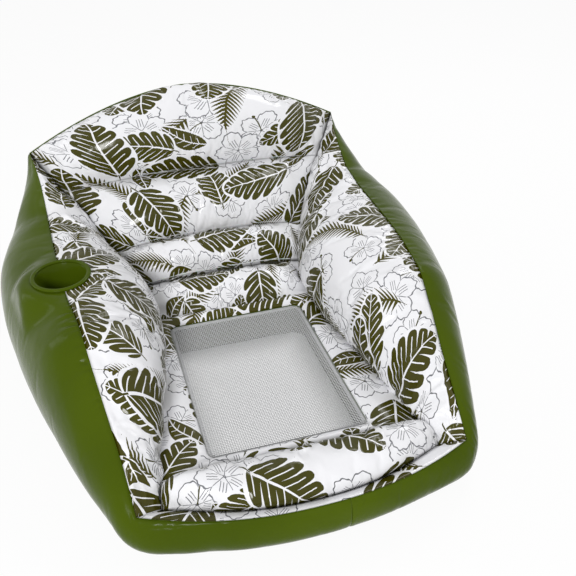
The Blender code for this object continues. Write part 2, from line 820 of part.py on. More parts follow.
def make_valve(number, facet, film, material, collection, cutters):
    frame = valve_frame(*facet)
    mark = "_" + str(number)
    bore = STEM_RADIUS + SLIDE_CLEARANCE
    low = FILM / 2 + GAP
    plate = low + FLANGE_THICKNESS
    boss = plate + BOSS_HEIGHT
    profile = [(bore, boss), (BOSS_RADIUS, boss), (BOSS_RADIUS, plate), (FLANGE_RADIUS, plate),
               (FLANGE_RADIUS, low), (bore, low)]
    turned_object("valve_flange" + mark, profile, material, collection, ROUND_SIDES, frame, True)
    hole = cutting_cylinder("valve_cut" + mark, bore + FILM_HOLE_CLEARANCE, -CUT_OVERRUN / 2,
                            CUT_OVERRUN / 2, cutters, frame, SMALL_SIDES)
    combine(film, hole, "DIFFERENCE")

    under_lip = boss + GAP
    top = under_lip + STEM_LIP
    bead = -(STEM_TRAVEL + FILM / 2 + GAP)
    end = bead - STEM_LIP
    profile = [(STEM_BORE_RADIUS, top), (STEM_LIP_RADIUS, top), (STEM_LIP_RADIUS, under_lip),
               (STEM_RADIUS, under_lip), (STEM_RADIUS, bead), (STEM_BEAD_RADIUS, bead),
               (STEM_BEAD_RADIUS, end), (STEM_BORE_RADIUS, end)]
    stem = turned_object("valve_stem" + mark, profile, material, collection, SMALL_SIDES, frame, True)
    half = TETHER_WIDTH / 2
    lug = box_tool("tether_lug" + mark, (-half, STEM_LIP_RADIUS - STEM_LIP, under_lip + GAP),
                   (half, TETHER_REACH + TETHER_LUG, top - GAP), cutters, frame)
    combine(stem, lug, "UNION")

    seat = top + GAP
    profile = [(0.0, seat + PLUG_HEAD), (PLUG_HEAD_RADIUS, seat + PLUG_HEAD),
               (PLUG_HEAD_RADIUS, seat), (PLUG_RADIUS, seat),
               (PLUG_TIP_RADIUS, seat - PLUG_LENGTH), (0.0, seat - PLUG_LENGTH)]
    hinge = Vector((0, TETHER_REACH, seat + GAP + TETHER_THICKNESS / 2))
    plug_frame = frame @ Matrix.Translation(hinge)
    profile = [(radius, height - hinge.z) for radius, height in profile]
    plug = turned_object("valve_plug" + mark, profile, material, collection, SMALL_SIDES, frame)
    plug.matrix_world = plug_frame
    move_mesh(plug, Vector((0, -TETHER_REACH, 0)))
    strap = box_tool("tether_strap" + mark,
                     (-half, -TETHER_REACH + PLUG_RADIUS, -TETHER_THICKNESS / 2),
                     (half, GAP, TETHER_THICKNESS / 2), cutters, plug_frame)
    combine(plug, strap, "UNION")

    axis = Vector((0, -FLAP_RADIUS - FLAP_HINGE_OFFSET, end - GAP - FLAP_THICKNESS / 2))
    half = FLAP_THICKNESS / 2
    profile = [(0.0, half), (FLAP_RADIUS, half), (FLAP_RADIUS, -half), (0.0, -half)]
    flap = turned_object("valve_flap" + mark, profile, material, collection, SMALL_SIDES, frame)
    flap.matrix_world = frame @ Matrix.Translation(axis)
    move_mesh(flap, Vector((0, -axis.y, 0)))


# Moves a turned piece off its origin, which stays on the joint's axis
def move_mesh(piece, offset):
    centre = bpy.data.objects.new(piece.name + "_turning_centre", None)
    piece.users_collection[0].objects.link(centre)
    centre.matrix_world = piece.matrix_world @ Matrix.Translation(offset)
    piece.modifiers["Turn"].object = centre
    for vertex in piece.data.vertices:
        vertex.co += offset


def main():
    for item in list(bpy.data.objects):
        bpy.data.objects.remove(item, do_unlink=True)
    chair = new_collection("inflatable_pool_chair")
    cutters = new_collection("cutters")
    printed = make_material("printed_vinyl", (0.72, 0.73, 0.68), 0.25)
    plain = make_material("green_vinyl", (0.08, 0.13, 0.01), 0.28)
    clear = make_material("web_vinyl", (0.75, 0.76, 0.76), 0.35)
    net = make_material("seat_mesh", (0.45, 0.45, 0.45), 0.6)
    arm = make_arm("arm_panel_left", -1, printed, chair)
    make_arm("arm_panel_right", 1, printed, chair)
    make_backrest(printed, chair)
    make_seat_border(printed, chair)
    make_roll(printed, chair)
    make_strip(printed, chair)
    wall = make_side_wall("side_wall_left", -1, plain, chair)
    make_side_wall("side_wall_right", 1, plain, chair)
    back = make_back_wall(plain, chair)
    make_bottom(plain, chair)
    make_well_wall(plain, chair)
    make_binding(net, chair)
    make_mesh_seat(net, chair)
    make_side_web("side_web_left", -1, clear, chair)
    make_side_web("side_web_right", 1, clear, chair)
    make_front_web(clear, chair)
    for number in range(1, len(CHANNEL_STEPS)):
        make_back_web(number, clear, chair)
    make_cup_holder((arm, wall), plain, chair, cutters)
    for number, facet in enumerate(VALVE_FACETS, 1):
        make_valve(number, facet, back, clear, chair, cutters)


main()
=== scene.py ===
import math

import bmesh
import bpy
import numpy as np
from mathutils import Matrix, Vector


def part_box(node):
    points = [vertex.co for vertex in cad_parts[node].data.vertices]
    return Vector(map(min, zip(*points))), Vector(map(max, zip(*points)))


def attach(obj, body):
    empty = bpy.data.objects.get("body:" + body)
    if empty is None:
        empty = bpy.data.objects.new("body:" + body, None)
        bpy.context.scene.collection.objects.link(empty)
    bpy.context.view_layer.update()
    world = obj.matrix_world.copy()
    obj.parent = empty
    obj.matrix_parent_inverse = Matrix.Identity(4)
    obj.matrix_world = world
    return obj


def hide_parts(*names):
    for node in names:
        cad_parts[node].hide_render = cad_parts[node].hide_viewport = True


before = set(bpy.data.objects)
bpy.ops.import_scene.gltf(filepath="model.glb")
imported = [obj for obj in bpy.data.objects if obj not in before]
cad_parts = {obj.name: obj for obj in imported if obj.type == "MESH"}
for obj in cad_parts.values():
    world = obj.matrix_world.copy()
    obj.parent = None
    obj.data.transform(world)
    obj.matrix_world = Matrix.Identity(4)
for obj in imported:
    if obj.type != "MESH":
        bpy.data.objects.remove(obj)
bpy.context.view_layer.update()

print("frame loaded")

# The inflatable chair: two PVC films welded along a rim, blown up over inner webs.
# Each film is worked out as a fine grid, blown up by a cloth simulation that its welds hold,
# and puckered along the welds. Lengths are in metres, front at -Y.

chair = {
    "width": 1.06, "depth": 1.196, "backHeight": 0.496, "seatHeight": 0.093,
    "armHeight": 0.286, "tipHeight": 0.374, "film": 0.0004, "puffPower": 0.62,
}

# the weld between printed and plain film: setbacks from the chair's box, half widths, bows
rim = {
    "frontSetback": 0.011, "cornerSetback": 0.067, "tipSetback": 0.104, "topSetback": 0.083,
    "cornerHalf": 0.310, "tipHalf": 0.414, "frontHeight": 0.104, "frontBow": 2.2, "archBow": 1.75,
    # place along the arm, share of the way out to the tip, rise to the arm, rise to the tip
    "arm": ((0.00, 0.00, 0.00, 0.00), (0.06, 0.05, 0.24, 0.00), (0.14, 0.15, 0.48, 0.00),
            (0.24, 0.29, 0.79, 0.00), (0.33, 0.40, 1.00, 0.00), (0.45, 0.57, 1.00, 0.00),
            (0.72, 0.76, 0.97, 0.00), (0.81, 0.80, 1.00, 0.03), (0.88, 0.83, 1.00, 0.38),
            (0.94, 0.89, 1.00, 0.72), (1.00, 1.00, 1.00, 1.00)),
}

# the outer film's widest line, and the foot tucked in under it
belly = {
    "cornerHalf": 0.325, "tipHalf": 0.448, "cornerSetback": 0.066, "tipSetback": 0.059,
    "frontHeight": 0.061, "backHeight": 0.157, "footTuck": 0.058, "backBow": 5.0, "widest": 0.70,
    # place along the arm, share of the way out, way along, rise from front to back
    "arm": ((0.00, 0.00, 0.00, 0.00), (0.06, 0.13, 0.05, 0.09), (0.14, 0.31, 0.13, 0.22),
            (0.24, 0.51, 0.24, 0.32), (0.38, 0.73, 0.38, 0.45), (0.50, 0.87, 0.50, 0.55),
            (0.60, 0.96, 0.60, 0.635), (0.70, 1.00, 0.71, 0.73), (0.78, 0.84, 0.80, 0.79),
            (0.86, 0.57, 0.88, 0.86), (0.94, 0.27, 0.96, 0.93), (1.00, 0.00, 1.00, 1.00)),
    # columns over which the front corner is rounded, and how far it is pushed out
    "cornerBlur": 16, "cornerReach": 0.085, "cornerPush": 0.011, "tuck": 0.012, "tuckReach": 0.10,
}

# the fold at the foot of an arm: place along it, share of the tip's half width, rise
folds = {
    "seatDrop": 0.006, "frontSetback": 0.018,
    "line": ((0.00, 0.642, 0.00), (0.07, 0.630, 0.00), (0.18, 0.602, 0.00), (0.32, 0.552, 0.00),
             (0.45, 0.500, 0.00), (0.56, 0.490, 0.02), (0.68, 0.533, 0.10), (0.78, 0.618, 0.28),
             (0.86, 0.722, 0.52), (0.92, 0.838, 0.71), (1.00, 1.000, 1.00)),
}

frontY = -chair["depth"] / 2 + rim["frontSetback"]
cornerY = frontY + rim["cornerSetback"]
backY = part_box("back_wall")[1][1] - chair["film"] / 2
tipY = backY - rim["tipSetback"]
seatStart, seatEnd = 0.07, 0.56     # places along the arm where the crease and the backrest lie


def spot(x, y, z):
    return np.stack(np.broadcast_arrays(x, y, z), -1).astype(float)


def mix(a, b, share):
    return a + (b - a) * share


def ease(share):
    share = np.clip(share, 0, 1)
    return share * share * (3 - 2 * share)


def puff(share):
    return np.maximum(0, 4 * share * (1 - share)) ** chair["puffPower"]


def even(count, low=-1.0, high=1.0):
    return np.linspace(low, high, count + 1)


def gathered(count, gather=0.75):
    # shares from 0 to 1 that lie closer together near both ends
    share = even(count, 0.0)
    return mix(share, (1 - np.cos(np.pi * share)) / 2, gather)


def unit(vectors):
    return vectors / np.maximum(np.linalg.norm(vectors, axis=-1, keepdims=True), 1e-9)


def tableCurve(rows, place):
    # smooth curve through the places of a table, level where its values turn back
    rows = np.array(rows, float)
    x, y = rows[:, 0], rows[:, 1:].T
    rise = np.diff(y) / np.diff(x)
    before, after = np.hstack([rise[:, :1], rise]), np.hstack([rise, rise[:, -1:]])
    same = before * after > 0
    slope = np.where(same, 2 * before * after / np.where(same, before + after, 1), 0)
    place = np.asarray(place, float)
    row = np.clip(np.searchsorted(x, place, "right") - 1, 0, len(x) - 2)
    run = x[row + 1] - x[row]
    t = np.clip((place - x[row]) / run, 0, 1)
    curve = (1 + 2 * t) * (1 - t) ** 2 * y[:, row] + t * t * (3 - 2 * t) * y[:, row + 1]
    return curve + run * (t * (1 - t) ** 2 * slope[:, row] - t * t * (1 - t) * slope[:, row + 1])


def rimFront(share):
    y = frontY + rim["cornerSetback"] * np.abs(share) ** rim["frontBow"]
    return spot(rim["cornerHalf"] * share, y, rim["frontHeight"])


def rimArm(place, side):
    out, rise, lift = tableCurve(rim["arm"], place)
    z = mix(rim["frontHeight"], chair["armHeight"], rise)
    z = z + (chair["tipHeight"] - chair["armHeight"]) * lift
    x = side * mix(rim["cornerHalf"], rim["tipHalf"], out)
    return spot(x, mix(cornerY, tipY, np.asarray(place)), z)


def rimBack(share):
    bow = np.abs(share) ** rim["archBow"]
    y = mix(backY - rim["topSetback"], tipY, bow)
    return spot(rim["tipHalf"] * share, y, mix(chair["backHeight"], chair["tipHeight"], bow))


def bellyFront(share):
    y = -chair["depth"] / 2 + belly["cornerSetback"] * np.abs(share) ** rim["frontBow"]
    return spot(belly["cornerHalf"] * share, y, belly["frontHeight"])


def bellyArm(place, side):
    out, along, rise = tableCurve(belly["arm"], place)
    narrow = np.where(np.asarray(place) < belly["widest"], belly["cornerHalf"], belly["tipHalf"])
    start = -chair["depth"] / 2 + belly["cornerSetback"]
    y = mix(start, backY - belly["tipSetback"], along)
    z = mix(belly["frontHeight"], belly["backHeight"], rise)
    return tucked(spot(side * mix(narrow, chair["width"] / 2, out), y, z))


def bellyBack(share):
    y = backY - belly["tipSetback"] * np.abs(share) ** belly["backBow"]
    return tucked(spot(belly["tipHalf"] * share, y, belly["backHeight"]))


def tucked(widest):
    # the pull of the tips draws the two back corners in and rounds them
    side = np.where(widest[..., 0] < 0, -1.0, 1.0)
    corner = spot(side * belly["tipHalf"], backY - belly["tipSetback"], belly["backHeight"])
    near = np.exp(-(np.linalg.norm(widest - corner, axis=-1) / belly["tuckReach"]) ** 2)
    return widest - spot(near * side, near, 0.0) * belly["tuck"]


def footUnder(widest):
    shrink = 1 - belly["footTuck"] / (chair["width"] / 2)
    return widest * [shrink, shrink, 0] + [0, 0, chair["film"] / 2]


def wallPoints(top, widest, share):
    # down the outer film: 0 at the rim, 1 at its widest line, 2 at the foot
    share = np.asarray(share)[:, None]
    angle = np.where(share <= 1, share, share - 1) * np.pi / 2
    out, down = np.sin(angle), 1 - np.cos(angle)
    upper = mix(top, widest, np.stack([out, out, down], -1))
    lower = mix(widest, footUnder(widest), np.stack([down, down, out], -1))
    return np.where((share <= 1)[..., None], upper, lower)


def fold(place, side):
    half, rise = tableCurve(folds["line"], place)
    y = mix(cornerY, tipY, np.asarray(place))
    y = y + folds["frontSetback"] * np.maximum(0, 1 - np.asarray(place) / seatStart)
    z = chair["seatHeight"] - folds["seatDrop"] * (1 - rise)
    z = z + (chair["tipHeight"] - chair["seatHeight"]) * rise
    return spot(side * rim["tipHalf"] * half, y, z)


cup = {
    "place": 0.52, "flat": 0.068, "blend": 0.060, "drop": 0.035, "bore": 0.108, "depth": 0.085,
    "draft": 0.006, "wall": 0.0012, "hole": 0.0552, "ring": 0.0052, "ringSquash": 0.62,
}
cupCentre = rimArm(cup["place"], -1)


def fromCup(points):
    return np.hypot(points[..., 0] - cupCentre[0], points[..., 1] - cupCentre[1])


def flattenForCup(points):
    # films near the cup lie flat under its lip, the ones that stand higher over a wider ring
    height, level = points[..., 2], cupCentre[2]
    wider = np.where(height > level, cup["blend"], 0)
    far = ease((fromCup(points) - cup["flat"] - wider) / cup["blend"])
    low = ease((level - height - cup["drop"]) / cup["drop"])
    return spot(points[..., 0], points[..., 1], mix(level, height, np.maximum(far, low)))


backrest = {
    # weld lines: place along the arm's fold, way to the top edge, rise to the top, power of bow
    "welds": ((0.56, 0.545, 0.010, 4.0), (0.68, 0.657, 0.120, 3.4), (0.78, 0.760, 0.254, 3.0),
              (0.92, 0.893, 0.544, 2.6), (1.00, 1.000, 1.000, 1.75)),
    "puffs": (0.022, 0.033, 0.046, 0.054), "rows": (16, 20, 26, 32), "columns": 208,
    "endPower": 5.0, "round": 1.2, "step": 0.01,
    # how far each weld is drawn back into the chair, and how wide that groove is
    "grooves": (0.003, 0.012, 0.008, 0.006, 0.0), "grooveWide": 0.020,
}


def backBase(share, place):
    edge = fold(place, 1)
    way, rise, power = tableCurve(backrest["welds"], place)
    bow = np.abs(share) ** power
    y = mix(mix(cornerY, backY - rim["topSetback"], way), edge[..., 1], bow)
    z = mix(mix(chair["seatHeight"], chair["backHeight"], rise), edge[..., 2], bow)
    return spot(edge[..., 0] * share, y, z)


def channelPoints(channel, share, across):
    low, high = backrest["welds"][channel][0], backrest["welds"][channel + 1][0]
    place, step = mix(low, high, across)[:, None], backrest["step"]
    up = backBase(share, np.minimum(1, place + step))
    up = up - backBase(share, np.maximum(seatEnd, place - step))
    along = backBase(np.minimum(1, share + step), place)
    along = along - backBase(np.maximum(-1, share - step), place)
    normal = unit(np.cross(along, up))
    normal = normal * np.where(normal[..., 1:2] > 0, -1, 1)
    ends = (1 - np.abs(share) ** backrest["endPower"]) ** backrest["round"]
    rise = backrest["puffs"][channel] * puff(across)[:, None] * ends
    base = backBase(share, place)
    for row, groove in ((0, backrest["grooves"][channel]), (-1, backrest["grooves"][channel + 1])):
        away = np.linalg.norm(base - base[row], axis=2) / backrest["grooveWide"]
        rise = rise - groove * np.exp(-away ** 2) * ends
    return base + normal * rise[..., None]


arms = {
    "rows": 40, "columns": 264, "endShare": 0.09, "step": 0.01,
    "puff": ((0.00, 0.33), (0.50, 0.33), (0.72, 0.24), (0.88, 0.19), (1.00, 0.04)),
}


def armPoints(side):
    place = even(arms["columns"], 0.0)
    across, step = gathered(arms["rows"])[:, None, None], arms["step"]
    top, low = rimArm(place, side), fold(place, side)
    chord = low - top
    after, before = np.minimum(1, place + step), np.maximum(0, place - step)
    along = rimArm(after, side) + fold(after, side) - rimArm(before, side) - fold(before, side)
    normal = unit(np.cross(along, chord))
    normal = normal * np.where(normal[:, :1] * side > 0, -1, 1)
    ends = np.minimum(1, place / arms["endShare"]) ** 0.5
    bulge = np.linalg.norm(chord, axis=1) * tableCurve(arms["puff"], place)[0] * ends
    return mix(top, low, across) + normal * bulge[:, None] * puff(across)


roll = {
    "puff": 0.050, "lift": 0.004, "endPower": 9.0, "strip": 0.021, "rows": 22, "columns": 160,
}


def creaseLine(share):
    end = fold(seatStart, 1)
    z = mix(chair["seatHeight"] + roll["lift"], end[2], np.abs(share) ** roll["endPower"])
    return spot(end[0] * share, end[1], z)


def frontWeld(share):
    end = fold(0.0, 1)
    y = mix(frontY + roll["strip"], end[1], np.abs(share) ** rim["frontBow"])
    z = mix(chair["seatHeight"] + roll["lift"], end[2], np.abs(share) ** roll["endPower"])
    return spot(end[0] * share, y, z)


def rollPoints():
    share, across = even(roll["columns"]), gathered(roll["rows"])[:, None]
    base = mix(creaseLine(share), frontWeld(share), across[..., None])
    base[..., 0] = mix(fold(seatStart, 1)[0], fold(0.0, 1)[0], across) * share
    ends = (1 - np.abs(share) ** roll["endPower"]) ** 0.5
    base[..., 2] += roll["puff"] * puff(across) * ends
    return base


seat = {
    "width": 0.320, "length": 0.432, "corner": 0.020, "back": 0.030, "sag": 0.012, "puff": 0.012,
    "slant": 0.014, "rows": 12, "steps": 110, "show": 0.0016,
}
meshY = fold(seatStart, 1)[1] + seat["back"] + seat["length"] / 2


def onOpening(xShare, yShare, grow, z):
    # rectangle with round corners; grow moves its line outward
    halfX, halfY = seat["width"] / 2 + grow, seat["length"] / 2 + grow
    radius = seat["corner"] + grow
    x, y = halfX * xShare, halfY * yShare
    cornerX, cornerY = np.copysign(halfX - radius, x), np.copysign(halfY - radius, y)
    reach = np.hypot(x - cornerX, y - cornerY)
    inCorner = (np.abs(x) > halfX - radius) & (np.abs(y) > halfY - radius) & (reach > radius)
    pull = np.where(inCorner, radius / np.maximum(reach, 1e-9), 1)
    x = np.where(inCorner, cornerX + (x - cornerX) * pull, x)
    y = np.where(inCorner, cornerY + (y - cornerY) * pull, y)
    return spot(x, meshY + y, z)


def seatWalk():
    # once round the seat: where its outer edge lies, and the shares of the opening there
    across, places = even(seat["steps"]), even(seat["steps"], seatStart, seatEnd)
    lowY, highY = fold(seatStart, 1)[1], fold(seatEnd, 1)[1]
    sideShare = 2 * (fold(places, 1)[:, 1] - lowY) / (highY - lowY) - 1
    runs = [
        (backBase(across, np.full(len(across), seatEnd)), across, across * 0 + 1),
        (fold(places[::-1], 1), places * 0 + 1, sideShare[::-1]),
        (creaseLine(across[::-1]), across[::-1], across * 0 - 1),
        (fold(places, -1), places * 0 - 1, sideShare),
    ]
    return [np.concatenate([run[part][:-1] for run in runs]) for part in range(3)]


def borderPoints():
    outer, xShare, yShare = seatWalk()
    across = gathered(seat["rows"])[:, None, None]
    inner = onOpening(xShare, yShare, 0.0, chair["seatHeight"])
    points = mix(outer, inner, across)
    points[..., 2] += seat["puff"] * puff(across[..., 0])
    return points


walls = {
    "rows": 52, "backRows": 104, "frontColumns": 120, "armColumns": 320, "backColumns": 208,
    # share of the front's half width where the side films meet; rows gather toward the rim
    "frontWeld": 1 / 6, "gather": 1.6, "lip": 0.003, "lipLean": 0.6, "lipRows": 2,
}


def withLip(points):
    # the weld's own edge stands up and out of the rim
    away = unit(points[3] - points[0])
    away = unit(away * [1, 1, 0] * walls["lipLean"] + [0, 0, 1])
    lips = [points[0] + away * walls["lip"] * (1 - row / walls["lipRows"])
            for row in range(walls["lipRows"])]
    return np.concatenate([lips, points])


def roundedCorner(widest, side):
    # the widest line's own mean near the front corner, pushed out as far as the air takes it
    corner = widest[walls["frontColumns"]]
    reach = np.linalg.norm(widest - corner, axis=1) / belly["cornerReach"]
    near = np.exp(-reach ** 2)[:, None]
    columns = belly["cornerBlur"]
    padded = np.pad(widest, [(columns, columns), (0, 0)], "edge")
    mean = sum(padded[step:step + len(widest)] for step in range(2 * columns + 1)) / (2 * columns + 1)
    push = np.array([side * math.sqrt(0.5), -math.sqrt(0.5), 0.0]) * belly["cornerPush"]
    return mix(widest, mean + push, near)


def sidePoints(side):
    front = side * even(walls["frontColumns"], walls["frontWeld"] * side, 1.0)
    place = even(walls["armColumns"], 0.0)[1:]
    top = np.concatenate([rimFront(front), rimArm(place, side)])
    widest = np.concatenate([bellyFront(front), bellyArm(place, side)])
    return wallPoints(top, roundedCorner(widest, side), 2 * even(walls["rows"], 0.0) ** walls["gather"])


def backPoints():
    share, down = even(walls["backColumns"]), 2 * even(walls["backRows"], 0.0) ** walls["gather"]
    return flattenForValves(wallPoints(rimBack(share), bellyBack(share), down))


valve = {
    "flange": 0.018, "flangeWall": 0.0008, "boss": 0.0092, "bossHeight": 0.0026, "stem": 0.0065,
    "bore": 0.0042, "travel": 0.008, "lip": 0.0080, "lipHeight": 0.0012, "clearance": 0.0004,
    "plug": 0.0039, "plugTip": 0.0032, "plugLength": 0.0035, "head": 0.0066, "headHeight": 0.0018,
    "tether": 0.0110, "tetherWide": 0.0030, "tetherWall": 0.0010, "lug": 0.0016, "flap": 0.0050,
    "flapWall": 0.0006, "gap": 0.0003, "hole": 0.0073, "flat": 0.022, "blend": 0.035,
    # columns from the middle line, and the wall's section, counted as in the solids
    "facets": ((-1.5, 0.74, 1.0), (1.5, 0.50, 0.74)), "columns": 16,
}


def valveMatrix(columns, upper, lower):
    corners = []
    for across, section in ((-0.5, upper), (0.5, upper), (0.5, lower), (-0.5, lower)):
        at = np.array([2 * (columns + across) / valve["columns"]])
        corners.append(wallPoints(rimBack(at), bellyBack(at), [section])[0, 0])
    corners = [Vector(point.tolist()) for point in corners]
    middle = sum(corners, Vector()) / 4
    out = (corners[2] - corners[0]).cross(corners[3] - corners[1]).normalized()
    out = out if out.y > 0 else -out
    along = Vector((1, 0, 0))
    along = (along - out * along.dot(out)).normalized()
    matrix = Matrix((along, out.cross(along), out)).transposed().to_4x4()
    matrix.translation = middle
    return matrix


valvePlaces = [valveMatrix(*facet) for facet in valve["facets"]]


def flattenForValves(points):
    # the back film lies flat under each valve's flange, in a shallow dip
    for matrix in valvePlaces:
        turn, middle = np.array(matrix.to_3x3()), np.array(matrix.translation)
        local = (points - middle) @ turn
        free = ease((np.hypot(local[..., 0], local[..., 1]) - valve["flat"]) / valve["blend"])
        free = np.where(np.abs(local[..., 2]) < 0.05, free, 1)
        local[..., 2] = mix(chair["film"] / 2, local[..., 2], free)
        points = middle + local @ turn.T
    return points


# The blowing up: one cloth simulation of all the films, held at their welds

air = {
    "pressure": 4.0, "slack": -0.03, "mass": 0.25, "stiffness": 60, "bending": 0.3, "frames": 20,
    "quality": 6, "blur": 8, "swell": 0.006, "swellShare": 0.16, "gather": 0.004, "gatherShare": 0.3,
    # the thick outer film hardly creases, and its right side fills out least
    "smooth": {"wallLeft": 0.12, "wallRight": 0.25, "wallBack": 0.35}, "tight": {"wallRight": 0.001},
}


def walked(points, axis=0):
    # distance from the first point of a line, or down a grid's columns or along its rows
    steps = np.linalg.norm(np.diff(points, axis=axis), axis=-1)
    return np.insert(np.cumsum(steps, axis=axis), 0, 0.0, axis=axis)


def fromEnds(points):
    along = walked(points, 1)
    return np.minimum(along, along[:, -1:] - along)


def seamDistance(points, seams, closed):
    # along the film from the nearest weld, which its ends are too where it isn't a ring
    across = walked(points)
    distance = np.min([np.abs(across - across[row]) for row in seams], axis=0)
    return distance if closed else np.minimum(distance, fromEnds(points))


def gridFaces(rows, columns, closed=False):
    row, column = np.meshgrid(np.arange(rows - 1), np.arange(columns if closed else columns - 1),
                              indexing="ij")
    a = (row * columns + column).ravel()
    b = (row * columns + (column + 1) % columns).ravel()
    return np.stack([a, b, b + columns, a + columns], 1)


def gridNormals(points, closed):
    wide = np.concatenate([points[:, -1:], points, points[:, :1]], 1) if closed else points
    along = np.gradient(wide, axis=1)
    across = np.gradient(wide, axis=0)
    normals = unit(np.cross(along, across))
    return normals[:, 1:-1] if closed else normals


def finer(coarse, shape):
    # values of every second point, spread smoothly over all of them
    for axis in (0, 1):
        coarse = np.moveaxis(coarse, axis, 0)
        padded = np.concatenate([2 * coarse[:1] - coarse[1:2], coarse, 2 * coarse[-1:] - coarse[-2:-1]])
        between = (9 * (padded[1:-2] + padded[2:-1]) - padded[:-3] - padded[3:]) / 16
        full = np.zeros((2 * len(coarse) - 1, *coarse.shape[1:]))
        full[::2], full[1::2] = coarse, between
        coarse = np.moveaxis(full, 0, axis)
    return coarse[:shape[0], :shape[1]]


def blurred(values, reach):
    # each point's mean over its neighbours along the rows and the columns
    for axis in (0, 1):
        padded = np.pad(values, [(reach, reach) if axis == each else (0, 0) for each in range(3)], "edge")
        count = values.shape[axis]
        values = sum(np.take(padded, np.arange(step, step + count), axis)
                     for step in range(2 * reach + 1)) / (2 * reach + 1)
    return values


def capped(way, most):
    length = np.linalg.norm(way, axis=2)
    return way * np.minimum(1, most / np.maximum(length, 1e-9))[..., None]


def newPiece(name, data):
    piece = bpy.data.objects.new(name, data)
    bpy.context.scene.collection.objects.link(piece)
    return piece


def blowUp(films):
    # moves every film's points as the air would: slack film gathers where its welds hold it
    points, faces, held, shapes = [], [], [], []
    for film in films.values():
        coarse = film["points"][::2, ::2]
        fixed = (film["distance"] < 1e-6)[::2, ::2] | film["still"][::2, ::2]
        if film["pointed"]:
            coarse, fixed = coarse[:, :-1], fixed[:, :-1]
            fixed[:, -1] = True
        quads = gridFaces(*coarse.shape[:2]) + sum(rows * columns for rows, columns in shapes)
        points.append(coarse.reshape(-1, 3))
        faces.append(quads[:, ::-1] if film["flip"] else quads)
        held.append(fixed.ravel())
        shapes.append(coarse.shape[:2])
    points = np.concatenate(points)
    mesh = bpy.data.meshes.new("air")
    mesh.from_pydata(points.tolist(), [], np.concatenate(faces).tolist())
    skin = newPiece("air", mesh)
    welds = skin.vertex_groups.new(name="welds")
    welds.add(np.flatnonzero(np.concatenate(held)).tolist(), 1.0, "REPLACE")
    settings = skin.modifiers.new("Air", "CLOTH").settings
    settings.quality, settings.mass = air["quality"], air["mass"]
    settings.tension_stiffness = settings.compression_stiffness = air["stiffness"]
    settings.shear_stiffness = air["stiffness"] / 2
    settings.bending_stiffness = air["bending"]
    settings.effector_weights.gravity = 0
    settings.use_pressure = True
    settings.uniform_pressure_force = air["pressure"]
    settings.shrink_min = settings.shrink_max = air["slack"]
    settings.vertex_group_mass = "welds"
    scene = bpy.context.scene
    for number in range(1, air["frames"] + 1):
        scene.frame_set(number)
    blown = skin.evaluated_get(bpy.context.evaluated_depsgraph_get())
    moved = np.empty(points.size, np.float32)
    blown.data.vertices.foreach_get("co", moved)
    moved = moved.reshape(-1, 3) - points
    scene.frame_set(1)
    bpy.data.objects.remove(skin, do_unlink=True)
    bpy.data.meshes.remove(mesh)
    start = 0
    for (name, film), (rows, columns) in zip(films.items(), shapes):
        way = moved[start:start + rows * columns].reshape(rows, columns, 3)
        start += rows * columns
        if film["pointed"]:
            way = np.concatenate([way, way[:, -1:] * 0], 1)
        way = finer(way, film["points"].shape)
        swell = blurred(way, air["blur"])
        most = np.minimum(air["tight"].get(name, air["swell"]), air["swellShare"] * film["distance"])
        film["points"] = film["points"] + capped(swell, most)
        most = np.minimum(air["gather"], air["gatherShare"] * film["distance"])
        creases = capped(way - swell, most) * air["smooth"].get(name, 1.0)
        film["points"] = film["points"] + creases
    print("films blown up, most moved", round(float(np.abs(moved).max()) * 1000, 1), "mm")


def makeFilmGrid(points, inside, seams=None, still=None, closed=False, pointed=False):
    # a film as a grid of points, with its welds, and which way its faces have to turn
    distance = seamDistance(points, seams or [0, len(points) - 1], closed)
    normals = gridNormals(points, closed)
    middle = points.shape[0] // 2, points.shape[1] // 2
    flip = np.dot(normals[middle], points[middle] - np.asarray(inside)) < 0
    still = np.zeros(points.shape[:2], bool) if still is None else still
    return {"points": points, "distance": distance, "flip": bool(flip), "still": still,
            "closed": closed, "pointed": pointed}


# Puckers: narrow creases that run out of a weld, each with its own depth, length and lean

crease = {"lean": 0.7, "start": 0.003, "bank": 0.32, "bankWide": 2.2, "most": 0.6}
chance = np.random.default_rng(11)


def pucker(film, row, toward, spacing, depth, reach, start, end):
    # creases from a weld row; toward is +1 or -1 for later or earlier rows
    points = film["points"]
    along, across = walked(points[row]), walked(points)
    away = (across - across[row]) * toward
    place, stop = along[-1] * start, along[-1] * end
    field = film.setdefault("crease", np.zeros(points.shape[:2]))
    while place < stop:
        size = chance.random()
        sunk = depth * (0.25 + 0.75 * size ** 2)
        length = reach * (0.4 + 0.6 * size + 0.5 * chance.random())
        width = spacing * (0.22 + 0.16 * chance.random())
        lean = crease["lean"] * (chance.random() - 0.5)
        near = np.flatnonzero(np.abs(along - place) < 5 * width + 0.6 * length)
        if len(near):
            out = away[:, near]
            side = (along[near] + lean * out - place) / (width * (1 + out / reach))
            fall = (1 - np.exp(-out / crease["start"])) * np.exp(-(out / length) ** 2)
            bank = crease["bank"] * np.exp(-(side / crease["bankWide"]) ** 2)
            field[:, near] -= np.where(out > 0, sunk * (np.exp(-side ** 2) - bank) * fall, 0)
        place += spacing * (0.55 + 0.9 * chance.random())


def finishPoints(film):
    # the puckers moved along the film's own normals
    normals = gridNormals(film["points"], film["closed"]) * (-1 if film["flip"] else 1)
    field = film.get("crease", np.zeros(film["points"].shape[:2]))
    most = np.maximum(film["distance"], 0) * crease["most"]
    field = np.clip(field, -most, most)
    points = film["points"] + normals * field[..., None]
    points[..., 2] = np.maximum(points[..., 2], chair["film"])
    return points


